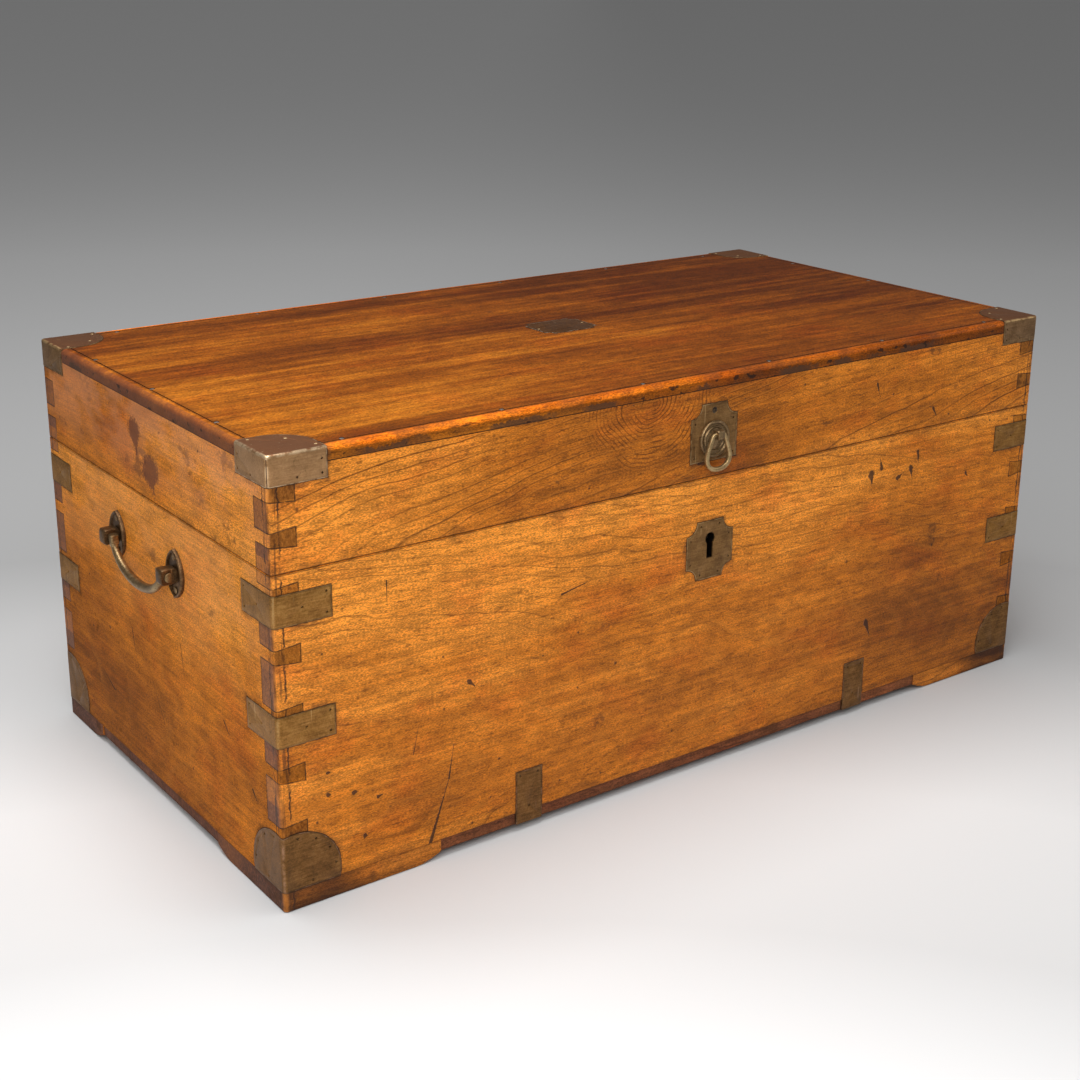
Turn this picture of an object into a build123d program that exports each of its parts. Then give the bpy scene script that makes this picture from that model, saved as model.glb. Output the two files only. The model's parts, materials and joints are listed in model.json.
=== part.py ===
from build123d import *
import os

# A camphor wood travelling chest bound with brass, in millimetres
# X runs along the front, Y from the front to the back and Z up from the floor
# The origin is on the floor under the middle of the chest, with the lid shut

# Shut chest, without the fittings that stand proud of the wood
width = 1000.0
depth = 520.0
height = 436.0
lid_height = 108.0
seam = 0.8

# Boards
wall = 26.0
top_thick = 14.0
bottom_thick = 12.0
bottom_planks = 3
plank_gap = 0.3
corner_round = 4.0
worn_edge = 0.8

# Lid board, its rounded edge set off from the flat by a scratched line
lid_edge_round = 5.0
scratch_in = 10.0
scratch_width = 1.2
scratch_depth = 0.8

# Dovetails, seen as narrow pins of the end boards on the front and back
dovetail_narrow = 13.0
dovetail_wide = 18.0
dovetail_gap = 0.1
case_dovetail_first = 18.5
case_dovetail_pitch = 57.5
lid_dovetail_first = 21.0
lid_dovetail_pitch = 41.0

# Bracket feet
foot_height = 20.0
foot_thick = 26.0
long_foot_arm = 168.0
front_side_foot_arm = 138.0
back_side_foot_arm = 95.0
toe_rise = 8.0
toe_curve = 34.0

# Sheet brass, let into the wood and standing a little proud of it
brass_inset = 1.2
brass_proud = 0.4
tack_radius = 1.1
tack_length = 9.0
tack_proud = 0.15
tack_edge = 5.0
lobe_tack_angles = (5, 32, 60, 88)

# Corner straps
strap_reach = 58.0
strap_height = 30.0
upper_strap_below_seam = 33.5
lower_strap_below_seam = 148.0

# Base corner brasses, each face the part of a round lobe that lies on it
base_lobe_radius = 45.0
base_lobe_in = 14.0
base_lobe_up = 12.0

# Base straps under the front and back boards
base_strap_x = 228.0
base_strap_width = 31.0
base_strap_top = 65.0
base_strap_leg = 45.0

# Lid corner caps
cap_reach = 58.0
cap_height = 28.0
cap_inner_round = 38.0
cap_edge_round = 2.4
cap_seam = 0.8
cap_seam_below_top = 3.0

# Plaque let into the lid board
plaque_length = 70.0
plaque_width = 54.0
plaque_y = 4.0
plaque_notch = 8.0

# Keyhole plate and keyhole
lock_x = 0.0
keyplate_width = 62.0
keyplate_height = 63.0
keyplate_below_seam = 78.5
keyplate_notch = 13.5
keyhole_below_seam = 66.5
keyhole_radius = 6.5
keyhole_slot = 8.5
keyhole_drop = 21.5

# Box lock let into the inside of the front board
lock_plate_width = 108.0
lock_plate_height = 96.0
lock_plate_thick = 1.5
lock_flange_thick = 1.8
lock_flange_depth = 18.0
lock_case_width = 84.0
lock_case_height = 90.0
lock_case_depth = 14.5
lock_case_wall = 1.2
lock_gap = 0.3
lock_screw_edge = 5.6
lock_screw_low = 12.0
lock_screw_high = 72.0
lock_screw_length = 13.0
key_pin_radius = 1.5

# Bolt and the staples that it holds
bolt_thick = 4.0
bolt_travel = 8.0
bolt_finger = 4.4
bolt_finger_length = 9.0
bolt_stem = 6.0
bolt_bar = 10.0
bolt_tail = 8.0
bolt_tail_width = 21.0
bolt_length = 61.0
bolt_below_staple = 3.0
talon_width = 7.0
staple_spread = 20.0
staple_thick = 3.0
staple_width = 9.0
staple_length = 24.0
staple_window = 6.0
staple_window_width = 5.0
staple_foot = 2.3
staple_gap = 0.8
link_plate_thick = 2.0
guide_radius = 2.0
guide_spread = 22.0
spring_thick = 0.8
spring_width = 6.0
spring_reach = 12.0
spring_height = 36.0
ward_radius = 13.0
ward_thick = 1.2
ward_height = 4.0

# Hinges, with the pins just behind the back boards
hinge_x = 330.0
hinge_length = 76.0
leaf_width = 20.0
leaf_thick = 2.0
leaf_gap = 0.4
knuckle_radius = 5.0
knuckle_gap = 0.4
knuckle_count = 5
hinge_pin_radius = 2.5
hinge_pin_gap = 0.05
hinge_pin_out = 5.6

# Carrying handles
handle_y = 7.0
handle_z = 270.0
handle_span = 138.0
handle_plate_height = 50.0
handle_plate_width = 35.0
handle_plate_thick = 4.2
handle_rim = 2.6
handle_pocket = 1.2
lug_width = 13.0
lug_radius = 8.0
bail_out = 11.0
bail_pin_radius = 3.5
bail_pin_gap = 0.08
bail_radius = 4.2
bail_drop = 30.0
bail_arm_start = 57.5
bail_flat = 30.0
bail_elbow_round = 8.0
bail_bend_round = 26.0
bail_side_play = 0.7
bail_head_radius = 4.8
bail_head_thick = 1.6
grip_radius = 5.5
grip_half = 18.0
collar_radius = 5.2
collar_thick = 1.8

# Lid pull
pull_plate_width = 61.0
pull_plate_height = 60.0
pull_plate_below_top = 29.5
pull_notch = 14.0
pull_screw_below_plate_top = 7.5
pull_screw_length = 10.0
boss_below_top = 67.0
boss_radius = 19.5
boss_rim = 3.5
boss_thick = 1.2
boss_rim_height = 3.0
boss_rim_round = 1.0
boss_dome_radius = 11.0
boss_dome_height = 4.2
eye_above_boss = 6.0
eye_out = 7.8
eye_width = 8.0
eye_wall = 2.4
ring_wire = 2.2
ring_gap = 0.08
ring_shoulder = 7.0
ring_width = 15.5
ring_shoulder_drop = 22.0
ring_foot = 9.0
ring_drop = 37.0
ring_shoulder_round = 3.5
ring_side_round = 13.0
ring_foot_round = 12.0

# Screws and nails
screw_head_radius = 3.6
screw_head_depth = 1.8
screw_radius = 1.8
screw_length = 16.0
screw_slot = 1.0
screw_slot_depth = 0.8
leaf_screw_spacing = 26.0
handle_screw_offset = 17.0
nail_radius = 1.3
nail_head_radius = 2.8
nail_head_thick = 1.2
nail_length = 42.0
lid_row_nails = 6
lid_row_end_gap = 80.0
lid_end_row_nails = 3
lid_end_row_gap = 120.0
base_row_nails = 5
base_end_row_nails = 3
base_row_gap = 22.0
foot_nail_first = 31.0
foot_nail_pitch = 44.0

# Heights and half sizes that follow from the sizes above
half_width = width / 2
half_depth = depth / 2
case_low = foot_height
case_high = height - lid_height
lid_low = case_high + seam
rail_high = height - top_thick
bottom_low = case_low - bottom_thick
brass_thick = brass_inset + brass_proud
inner_y = half_depth - wall
upper_strap_z = case_high - upper_strap_below_seam
lower_strap_z = case_high - lower_strap_below_seam
keyplate_z = case_high - keyplate_below_seam
keyhole_z = case_high - keyhole_below_seam
pull_plate_z = height - pull_plate_below_top - pull_plate_height / 2
boss_z = height - boss_below_top
eye_z = boss_z + eye_above_boss
base_reach = base_lobe_in + base_lobe_radius
base_rise = base_lobe_up + base_lobe_radius

# The four upright faces: which way each looks, and which way is right when it is looked at
outward = {"front": (0, -1, 0), "back": (0, 1, 0), "left": (-1, 0, 0), "right": (1, 0, 0)}
rightward = {"front": (1, 0, 0), "back": (-1, 0, 0), "left": (0, -1, 0), "right": (0, 1, 0)}
half_length = {"front": half_width, "back": half_width, "left": half_depth, "right": half_depth}
face_distance = {"front": half_depth, "back": half_depth, "left": half_width, "right": half_width}
corners = {"front_left": (-1, -1), "front_right": (1, -1), "back_left": (-1, 1), "back_right": (1, 1)}

os.makedirs("parts", exist_ok=True)


def finish(part, name):
    """Names a finished piece and writes it."""
    part.label = name
    export_step(part, f"parts/{name}.step")


def face_plane(name, out=0.0):
    """The plane of an upright face of the chest, moved outwards, with its Y axis up."""
    origin = Vector(*outward[name]) * (face_distance[name] + out)
    return Plane(origin=origin, x_dir=rightward[name], z_dir=outward[name])


def spot_plane(name, along, up, out=0.0):
    """The plane of an upright face, with its origin at a place on the face."""
    face = face_plane(name, out)
    return Plane(origin=face.from_local_coords((along, up, 0)), x_dir=face.x_dir, z_dir=face.z_dir)


def corner_faces(x_side, y_side):
    """The long and the short face that meet at a corner, each with the end that the corner is at."""
    long_face = ("front", x_side) if y_side < 0 else ("back", -x_side)
    short_face = ("left", -y_side) if x_side < 0 else ("right", y_side)
    return long_face, short_face


def upright_block(grow, low, high, low_round=0.0, high_round=0.0):
    """The outline of the chest, grown all round, between two heights, with worn lower and upper edges."""
    with BuildPart() as block:
        with BuildSketch(Plane.XY.offset(low)):
            RectangleRounded(width + 2 * grow, depth + 2 * grow, max(corner_round + grow, 0.1))
        extrude(amount=high - low)
        if low_round:
            fillet(block.faces().sort_by(Axis.Z)[0].edges(), low_round)
        if high_round:
            fillet(block.faces().sort_by(Axis.Z)[-1].edges(), high_round)
    return block.part


def corner_band(x_side, y_side, reach, low, high):
    """A brass band round one corner, its arms as long as reach."""
    with BuildPart() as band:
        add(upright_block(brass_proud, low, high))
        add(upright_block(-brass_inset, low, high), mode=Mode.SUBTRACT)
        with BuildSketch(Plane.XY.offset(low)):
            with Locations((x_side * half_width, y_side * half_depth)):
                Rectangle(2 * reach, 2 * reach)
        extrude(amount=high - low, mode=Mode.INTERSECT)
    return band.part


def let_in(board, fittings):
    """Cuts the seat of each fitting and fastener out of a board."""
    with BuildPart() as cut:
        add(board)
        for fitting in fittings:
            add(fitting, mode=Mode.SUBTRACT)
    return cut.part


def row(first, last, count):
    """Evenly spaced places from first to last."""
    return [first + (last - first) * k / (count - 1) for k in range(count)]


def notched_rectangle(length, high, notch, ends=((-1, -1), (-1, 1), (1, -1), (1, 1))):
    """A rectangle with a round bite out of each corner named in ends."""
    Rectangle(length, high)
    with Locations(*[(x * length / 2, y * high / 2) for x, y in ends]):
        Circle(notch, mode=Mode.SUBTRACT)


# Places of the brass tacks on the four upright faces of the case
case_tack_places = {name: [] for name in outward}
for name in outward:
    half = half_length[name]
    for end in (-1, 1):
        for strap_z in (upper_strap_z, lower_strap_z):
            for up in (-1, 1):
                tack_up = up * (strap_height / 2 - tack_edge)
                case_tack_places[name].append((end * (half - strap_reach + tack_edge), strap_z + tack_up))
            case_tack_places[name].append((end * (half - strap_reach / 2), strap_z))
        for angle in lobe_tack_angles:
            tack = Vector(base_lobe_radius - tack_edge, 0).rotate(Axis.Z, angle)
            tack_x = end * (half - base_lobe_in - tack.X)
            case_tack_places[name].append((tack_x, case_low + base_lobe_up + tack.Y))
        case_tack_places[name].append((end * (half - base_reach / 2), case_low + tack_edge))
for name in ("front", "back"):
    for x in (-base_strap_x, base_strap_x):
        for side in (-1, 1):
            side_x = x + side * (base_strap_width / 2 - tack_edge)
            case_tack_places[name].append((side_x, base_strap_top - tack_edge))
        case_tack_places[name].append((x, case_low + tack_edge))
for x_end in (-1, 1):
    for z_end in (-1, 1):
        far_x = x_end * (keyplate_width / 2 - tack_edge)
        near_x = x_end * (keyplate_width / 2 - keyplate_notch - tack_edge)
        far_z = z_end * (keyplate_height / 2 - tack_edge)
        near_z = z_end * (keyplate_height / 2 - keyplate_notch - tack_edge)
        case_tack_places["front"].append((lock_x + far_x, keyplate_z + near_z))
        case_tack_places["front"].append((lock_x + near_x, keyplate_z + far_z))

# Places of the brass tacks on the four upright faces of the lid and on its top
lid_tack_places = {name: [] for name in outward}
cap_low = height - cap_height
for name in outward:
    half = half_length[name]
    for end in (-1, 1):
        for away, up in ((cap_reach - tack_edge, tack_edge), (cap_reach / 2, tack_edge),
                         (cap_reach - tack_edge, cap_height - 2 * tack_edge)):
            lid_tack_places[name].append((end * (half - away), cap_low + up))
for side in (-1, 1):
    low_z = pull_plate_z - pull_plate_height / 2 + tack_edge
    high_z = pull_plate_z + pull_plate_height / 2 - pull_notch - tack_edge
    side_x = side * (pull_plate_width / 2 - tack_edge)
    lid_tack_places["front"] += [(lock_x + side_x, low_z), (lock_x + side_x, high_z)]
top_tack_places = []
for x_side, y_side in corners.values():
    far = cap_reach - tack_edge
    bend = cap_reach - cap_inner_round / 2
    for in_x, in_y in ((far, tack_edge * 2), (tack_edge * 2, far), (bend, bend)):
        top_tack_places.append((x_side * (half_width - in_x), y_side * (half_depth - in_y)))
for x_end in (-1, 1):
    plaque_tack_x = x_end * (plaque_length / 2 - tack_edge)
    top_tack_places.append((plaque_tack_x, plaque_y))


def tacks(places, top_places=()):
    """Brass tacks driven square into the faces, their heads a hair above the brass."""
    with BuildPart() as group:
        for name, face_places in places.items():
            with BuildSketch(face_plane(name, brass_proud + tack_proud)):
                with Locations(*face_places):
                    Circle(tack_radius)
            extrude(amount=-tack_length)
        if top_places:
            with BuildSketch(Plane.XY.offset(height + brass_proud + tack_proud)):
                with Locations(*top_places):
                    Circle(tack_radius)
            extrude(amount=-tack_length)
    return group.part


case_tacks = tacks(case_tack_places)
finish(case_tacks, "case_tacks")
lid_tacks = tacks(lid_tack_places, top_tack_places)
finish(lid_tacks, "lid_tacks")

# Corner straps: an upper and a lower band of sheet brass at each corner
straps = {}
for corner, (x_side, y_side) in corners.items():
    with BuildPart() as strap_pair:
        for strap_z in (upper_strap_z, lower_strap_z):
            strap_low = strap_z - strap_height / 2
            add(corner_band(x_side, y_side, strap_reach, strap_low, strap_low + strap_height))
        add(case_tacks, mode=Mode.SUBTRACT)
    straps[corner] = strap_pair.part
    finish(strap_pair.part, f"straps_{corner}")


def base_corner_arm(x_side, y_side, name, end):
    """One face of a base corner brass, with its round lobe."""
    with BuildPart() as arm:
        add(corner_band(x_side, y_side, base_reach, case_low, case_low + base_rise))
        with BuildSketch(face_plane(name, brass_proud)):
            with Locations((end * (half_length[name] - base_lobe_in), case_low + base_lobe_up)):
                Circle(base_lobe_radius)
        extrude(amount=-(corner_round + brass_proud), mode=Mode.INTERSECT)
    return arm.part


# Base corners: sheet brass bent round the foot of each corner of the case
base_corners = {}
for corner, (x_side, y_side) in corners.items():
    with BuildPart() as base_corner:
        for name, end in corner_faces(x_side, y_side):
            add(base_corner_arm(x_side, y_side, name, end))
        add(case_tacks, mode=Mode.SUBTRACT)
    base_corners[corner] = base_corner.part
    finish(base_corner.part, f"base_corner_{corner}")

# Base straps: angles of sheet brass that hold the bottom boards up to the front and back boards
with BuildPart() as base_straps:
    for y_side in (-1, 1):
        outer_y = half_depth + brass_proud
        inner_leg_y = half_depth - base_strap_leg
        for x in (-base_strap_x, base_strap_x):
            with BuildSketch(Plane.XY.offset(bottom_low - brass_proud)):
                with Locations((x, y_side * (outer_y - brass_thick / 2))):
                    Rectangle(base_strap_width, brass_thick)
            extrude(amount=base_strap_top - bottom_low + brass_proud)
            with BuildSketch(Plane.XY.offset(bottom_low - brass_proud)):
                with Locations((x, y_side * (outer_y + inner_leg_y) / 2)):
                    Rectangle(base_strap_width, outer_y - inner_leg_y)
            extrude(amount=brass_thick)
    add(case_tacks, mode=Mode.SUBTRACT)
finish(base_straps.part, "base_straps")


def keyhole(grow, slot_floor):
    """The keyhole's outline: a round top over a straight slot."""
    with Locations((lock_x, keyhole_z)):
        Circle(keyhole_radius + grow)
    slot_top = keyhole_z
    with Locations((lock_x, (slot_top + slot_floor) / 2)):
        Rectangle(keyhole_slot + 2 * grow, slot_top - slot_floor)


# Keyhole plate: sheet brass with a round bite out of each corner
keyhole_floor = keyhole_z - keyhole_drop
with BuildPart() as keyhole_plate:
    with BuildSketch(face_plane("front", brass_proud)):
        with Locations((lock_x, keyplate_z)):
            notched_rectangle(keyplate_width, keyplate_height, keyplate_notch)
    extrude(amount=-brass_thick)
    keyhole_seat = keyhole_plate.part
    with BuildSketch(face_plane("front", brass_proud)):
        keyhole(0, keyhole_floor)
    extrude(amount=-brass_thick, mode=Mode.SUBTRACT)
    add(case_tacks, mode=Mode.SUBTRACT)
finish(keyhole_plate.part, "keyhole_plate")


def screw_seat(length=screw_length):
    """The countersunk hole for a wood screw that points down from the origin."""
    with BuildPart() as hole:
        with BuildSketch(Plane.XZ):
            with BuildLine():
                Polyline((0, 0), (screw_head_radius, 0), (screw_radius, -screw_head_depth),
                         (screw_radius, -length + screw_radius), (0, -length), close=True)
            make_face()
        revolve(axis=Axis.Z)
    return hole.part


def wood_screw(length=screw_length):
    """A wood screw that fills its seat, its slotted head flush with the origin."""
    with BuildPart() as shape:
        add(screw_seat(length))
        with BuildSketch():
            Rectangle(2 * screw_head_radius, screw_slot)
        extrude(amount=-screw_slot_depth, mode=Mode.SUBTRACT)
    return shape.part


def placed(shape, planes):
    """Copies of a shape, one on each plane."""
    with BuildPart() as group:
        for plane in planes:
            add(plane.location * shape)
    return group.part


screw = wood_screw()
seat = screw_seat()

# Lock plate: the inside face of the box lock, with a flange in the top edge of the board
lock_inner = Plane.XZ.offset(inner_y)
flange_low = case_high - lock_flange_thick
lock_plate_low = case_high - lock_plate_height
staple_y = -(inner_y + lock_plate_thick + lock_gap + (lock_case_depth - lock_case_wall) / 2)
staple_places = [(lock_x - staple_spread, staple_y), (lock_x + staple_spread, staple_y)]
bolt_bar_high = lid_low - staple_length - bolt_below_staple
bolt_bar_low = bolt_bar_high - bolt_bar
finger_tip_gap = staple_thick / 2 + staple_gap
bolt_left = lock_x - staple_spread - finger_tip_gap - bolt_finger_length - bolt_stem
guide_z = bolt_bar_low - lock_gap - guide_radius
guide_places = [(lock_x - guide_spread, guide_z), (lock_x + guide_spread, guide_z)]
lock_screw_x = lock_plate_width / 2 - lock_screw_edge
lock_screw_places = [(lock_x + x * lock_screw_x, lock_plate_low + z) for x in (-1, 1)
                     for z in (lock_screw_low, lock_screw_high)]
lock_screw_planes = [Plane(origin=(x, -inner_y, z), x_dir=(1, 0, 0), z_dir=(0, 1, 0))
                     for x, z in lock_screw_places]
lock_screws = placed(wood_screw(lock_screw_length), lock_screw_planes)
lock_screw_seats = placed(screw_seat(lock_screw_length), lock_screw_planes)
finish(lock_screws, "lock_screws")
with BuildPart() as lock_plate:
    with BuildSketch(lock_inner):
        with Locations((lock_x, (case_high + lock_plate_low) / 2)):
            Rectangle(lock_plate_width, lock_plate_height)
    extrude(amount=lock_plate_thick)
    with BuildSketch(Plane.XY.offset(flange_low)):
        with Locations((lock_x, -inner_y - lock_flange_depth / 2)):
            Rectangle(lock_plate_width, lock_flange_depth)
    extrude(amount=lock_flange_thick)
    lock_plate_seat = lock_plate.part
    with BuildSketch(Plane.XY.offset(flange_low)):
        with Locations(*staple_places):
            Rectangle(staple_thick + 2 * staple_gap, staple_width + 2 * staple_gap)
    extrude(amount=lock_flange_thick, mode=Mode.SUBTRACT)
    with BuildSketch(lock_inner.offset(lock_plate_thick)):
        with Locations(*guide_places):
            Circle(guide_radius)
        with Locations((lock_x, keyhole_z)):
            Circle(key_pin_radius)
    extrude(amount=lock_case_depth - lock_case_wall - lock_gap)
    with BuildSketch(lock_inner.offset(lock_plate_thick)):
        with Locations((lock_x, keyhole_z)):
            Circle(ward_radius)
            Circle(ward_radius - ward_thick, mode=Mode.SUBTRACT)
        with Locations((lock_x, keyhole_z + ward_radius)):
            Rectangle(2 * ward_radius, 2 * ward_radius, mode=Mode.SUBTRACT)
    extrude(amount=ward_height)
    add(lock_screw_seats, mode=Mode.SUBTRACT)
finish(lock_plate.part, "lock_plate")

# Lock case: the shallow box in front of the lock plate
lock_case_high = flange_low
lock_case_low = lock_case_high - lock_case_height
lock_case_z = (lock_case_high + lock_case_low) / 2
with BuildPart() as lock_case:
    with BuildSketch(lock_inner.offset(lock_plate_thick)):
        with Locations((lock_x, lock_case_z)):
            Rectangle(lock_case_width, lock_case_height)
    extrude(amount=lock_case_depth)
    lock_case_seat = lock_case.part
    with BuildSketch(lock_inner.offset(lock_plate_thick)):
        with Locations((lock_x, lock_case_z)):
            Rectangle(lock_case_width - 2 * lock_case_wall, lock_case_height - 2 * lock_case_wall)
    extrude(amount=lock_case_depth - lock_case_wall, mode=Mode.SUBTRACT)
    with BuildSketch(lock_inner.offset(lock_plate_thick)):
        keyhole(0, keyhole_floor)
    extrude(amount=lock_case_depth, mode=Mode.SUBTRACT)
    with BuildSketch(Plane.XY.offset(lock_case_high)):
        with Locations(*staple_places):
            Rectangle(staple_thick + 2 * staple_gap, staple_width + 2 * staple_gap)
    extrude(amount=-lock_case_wall, mode=Mode.SUBTRACT)
finish(lock_case.part, "lock_case")

# Lock bolt: a bar with two fingers that slide through the staples, and a notch for the key
bolt_plane = Plane.XZ.offset(-staple_y - bolt_thick / 2)
window_z = lid_low - staple_length + staple_foot + staple_window / 2
finger_high = window_z + bolt_finger / 2
with BuildPart() as lock_bolt:
    with BuildSketch(bolt_plane):
        with Locations((bolt_left + bolt_length / 2, (bolt_bar_low + bolt_bar_high) / 2)):
            Rectangle(bolt_length, bolt_bar)
        for staple_x, _ in staple_places:
            tip = staple_x - finger_tip_gap
            with Locations((tip - bolt_finger_length / 2, window_z)):
                Rectangle(bolt_finger_length, bolt_finger)
            stem_x = tip - bolt_finger_length - bolt_stem / 2
            with Locations((stem_x, (bolt_bar_low + finger_high) / 2)):
                Rectangle(bolt_stem, finger_high - bolt_bar_low)
        with Locations((lock_x - bolt_travel / 2, bolt_bar_low - bolt_tail / 2)):
            Rectangle(bolt_tail_width, bolt_tail)
            Rectangle(talon_width, bolt_tail, mode=Mode.SUBTRACT)
    extrude(amount=bolt_thick)
finish(lock_bolt.part, "lock_bolt")

# Lock spring: a flat strip on the lock case that bears on the underside of the bolt
spring_x = lock_x - lock_case_width / 2 + lock_case_wall + spring_thick / 2
spring_top = bolt_bar_low - lock_gap - spring_thick / 2
with BuildPart() as lock_spring:
    with BuildSketch(Plane.XZ.offset(-staple_y - spring_width / 2)):
        with BuildLine():
            strip = Line((spring_x, spring_top - spring_height), (spring_x, spring_top - spring_reach))
            TangentArc(strip @ 1, (spring_x + spring_reach, spring_top), tangent=strip % 1)
        trace(line_width=spring_thick)
    extrude(amount=spring_width)
finish(lock_spring.part, "lock_spring")

# Link plate: let into the underside of the lid's front rail, with two staples for the bolt
link_screw_planes = [Plane(origin=(lock_x + x * lock_screw_x, staple_y, lid_low), x_dir=(1, 0, 0),
                           z_dir=(0, 0, -1)) for x in (-1, 1)]
link_screws = placed(screw, link_screw_planes)
link_screw_seats = placed(seat, link_screw_planes)
finish(link_screws, "link_screws")
with BuildPart() as lock_link_plate:
    with BuildSketch(Plane.XY.offset(lid_low)):
        with Locations((lock_x, -inner_y - lock_flange_depth / 2)):
            Rectangle(lock_plate_width, lock_flange_depth)
    extrude(amount=link_plate_thick)
    with BuildSketch(Plane.XY.offset(lid_low)):
        with Locations(*staple_places):
            Rectangle(staple_thick, staple_width)
    extrude(amount=-staple_length)
    with BuildSketch(Plane.YZ.offset(lock_x - width / 4)):
        with Locations((staple_y, window_z)):
            Rectangle(staple_window_width, staple_window)
    extrude(amount=width / 2, mode=Mode.SUBTRACT)
    add(link_screw_seats, mode=Mode.SUBTRACT)
finish(lock_link_plate.part, "lock_link_plate")

# Hinges: butts whose leaves lie in the seam and whose knuckles stand behind the back boards
pin_y = half_depth + hinge_pin_out
pin_z = case_high + seam / 2
knuckle_length = (hinge_length - (knuckle_count - 1) * knuckle_gap) / knuckle_count
leaf_screw_y = half_depth - leaf_width / 2


def hinge_leaf(x, side):
    """One leaf of a hinge at x, below the seam for side -1 and above it for side 1."""
    inner_face = pin_z + side * leaf_gap / 2
    owned = [k for k in range(knuckle_count) if (k % 2 == 0) == (side < 0)]
    starts = [x - hinge_length / 2 + k * (knuckle_length + knuckle_gap) for k in owned]
    with BuildPart() as leaf:
        with BuildSketch(Plane.XY.offset(inner_face)):
            with Locations((x, half_depth - leaf_width / 2)):
                Rectangle(hinge_length, leaf_width)
            for start in starts:
                with Locations((start + knuckle_length / 2, half_depth + hinge_pin_out / 2)):
                    Rectangle(knuckle_length, hinge_pin_out)
        extrude(amount=side * leaf_thick)
        for start in starts:
            with BuildSketch(Plane.YZ.offset(start)):
                with Locations((pin_y, pin_z)):
                    Circle(knuckle_radius)
            extrude(amount=knuckle_length)
        with BuildSketch(Plane.YZ.offset(x - hinge_length / 2)):
            with Locations((pin_y, pin_z)):
                Circle(hinge_pin_radius + hinge_pin_gap)
        extrude(amount=hinge_length, mode=Mode.SUBTRACT)
    return leaf.part


def leaf_screw_planes(side):
    """Planes of the screw heads in the leaves on one side of the seam."""
    head_z = pin_z + side * leaf_gap / 2
    return [Plane(origin=(x + k * leaf_screw_spacing, leaf_screw_y, head_z), x_dir=(1, 0, 0),
                  z_dir=(0, 0, -side)) for x in (-hinge_x, hinge_x) for k in (-1, 0, 1)]


hinge_cuts = {}
for side, level in ((-1, "lower"), (1, "upper")):
    screw_planes = leaf_screw_planes(side)
    finish(placed(screw, screw_planes), f"hinge_screws_{level}")
    hinge_cuts[level] = [placed(seat, screw_planes)]
    for x, hand in ((-hinge_x, "left"), (hinge_x, "right")):
        leaf = let_in(hinge_leaf(x, side), hinge_cuts[level][:1])
        finish(leaf, f"hinge_{level}_leaf_{hand}")
        hinge_cuts[level].append(leaf)

with BuildPart() as hinge_pins:
    for x in (-hinge_x, hinge_x):
        with BuildSketch(Plane.YZ.offset(x - hinge_length / 2)):
            with Locations((pin_y, pin_z)):
                Circle(hinge_pin_radius)
        extrude(amount=hinge_length)
finish(hinge_pins.part, "hinge_pins")


def leaf_outline(shrink=0.0):
    """A pointed oval, where two circles overlap."""
    half_high = handle_plate_height / 2
    half_wide = handle_plate_width / 2
    arc = (half_high ** 2 + half_wide ** 2) / (2 * half_wide)
    with Locations((arc - half_wide, 0)):
        Circle(arc - shrink)
    with Locations((half_wide - arc, 0)):
        Circle(arc - shrink, mode=Mode.INTERSECT)


def handle_plate(name, middle):
    """A cast plate with a raised rim and a lug for the bail, middle along its face."""
    spot = spot_plane(name, middle, handle_z)
    with BuildPart() as plate:
        with BuildSketch(spot):
            leaf_outline()
        extrude(amount=handle_plate_thick)
        with BuildSketch(spot.offset(handle_plate_thick)):
            leaf_outline(handle_rim)
        extrude(amount=-handle_pocket, mode=Mode.SUBTRACT)
        lug_plane = Plane(origin=spot.origin - spot.x_dir * lug_width / 2, x_dir=spot.z_dir, z_dir=spot.x_dir)
        with BuildSketch(lug_plane):
            with Locations((bail_out, 0)):
                Circle(lug_radius)
            with Locations((bail_out / 2, 0)):
                Rectangle(bail_out, 2 * lug_radius)
            with Locations((bail_out, 0)):
                Circle(bail_pin_radius + bail_pin_gap, mode=Mode.SUBTRACT)
        extrude(amount=lug_width)
    return plate.part


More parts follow.
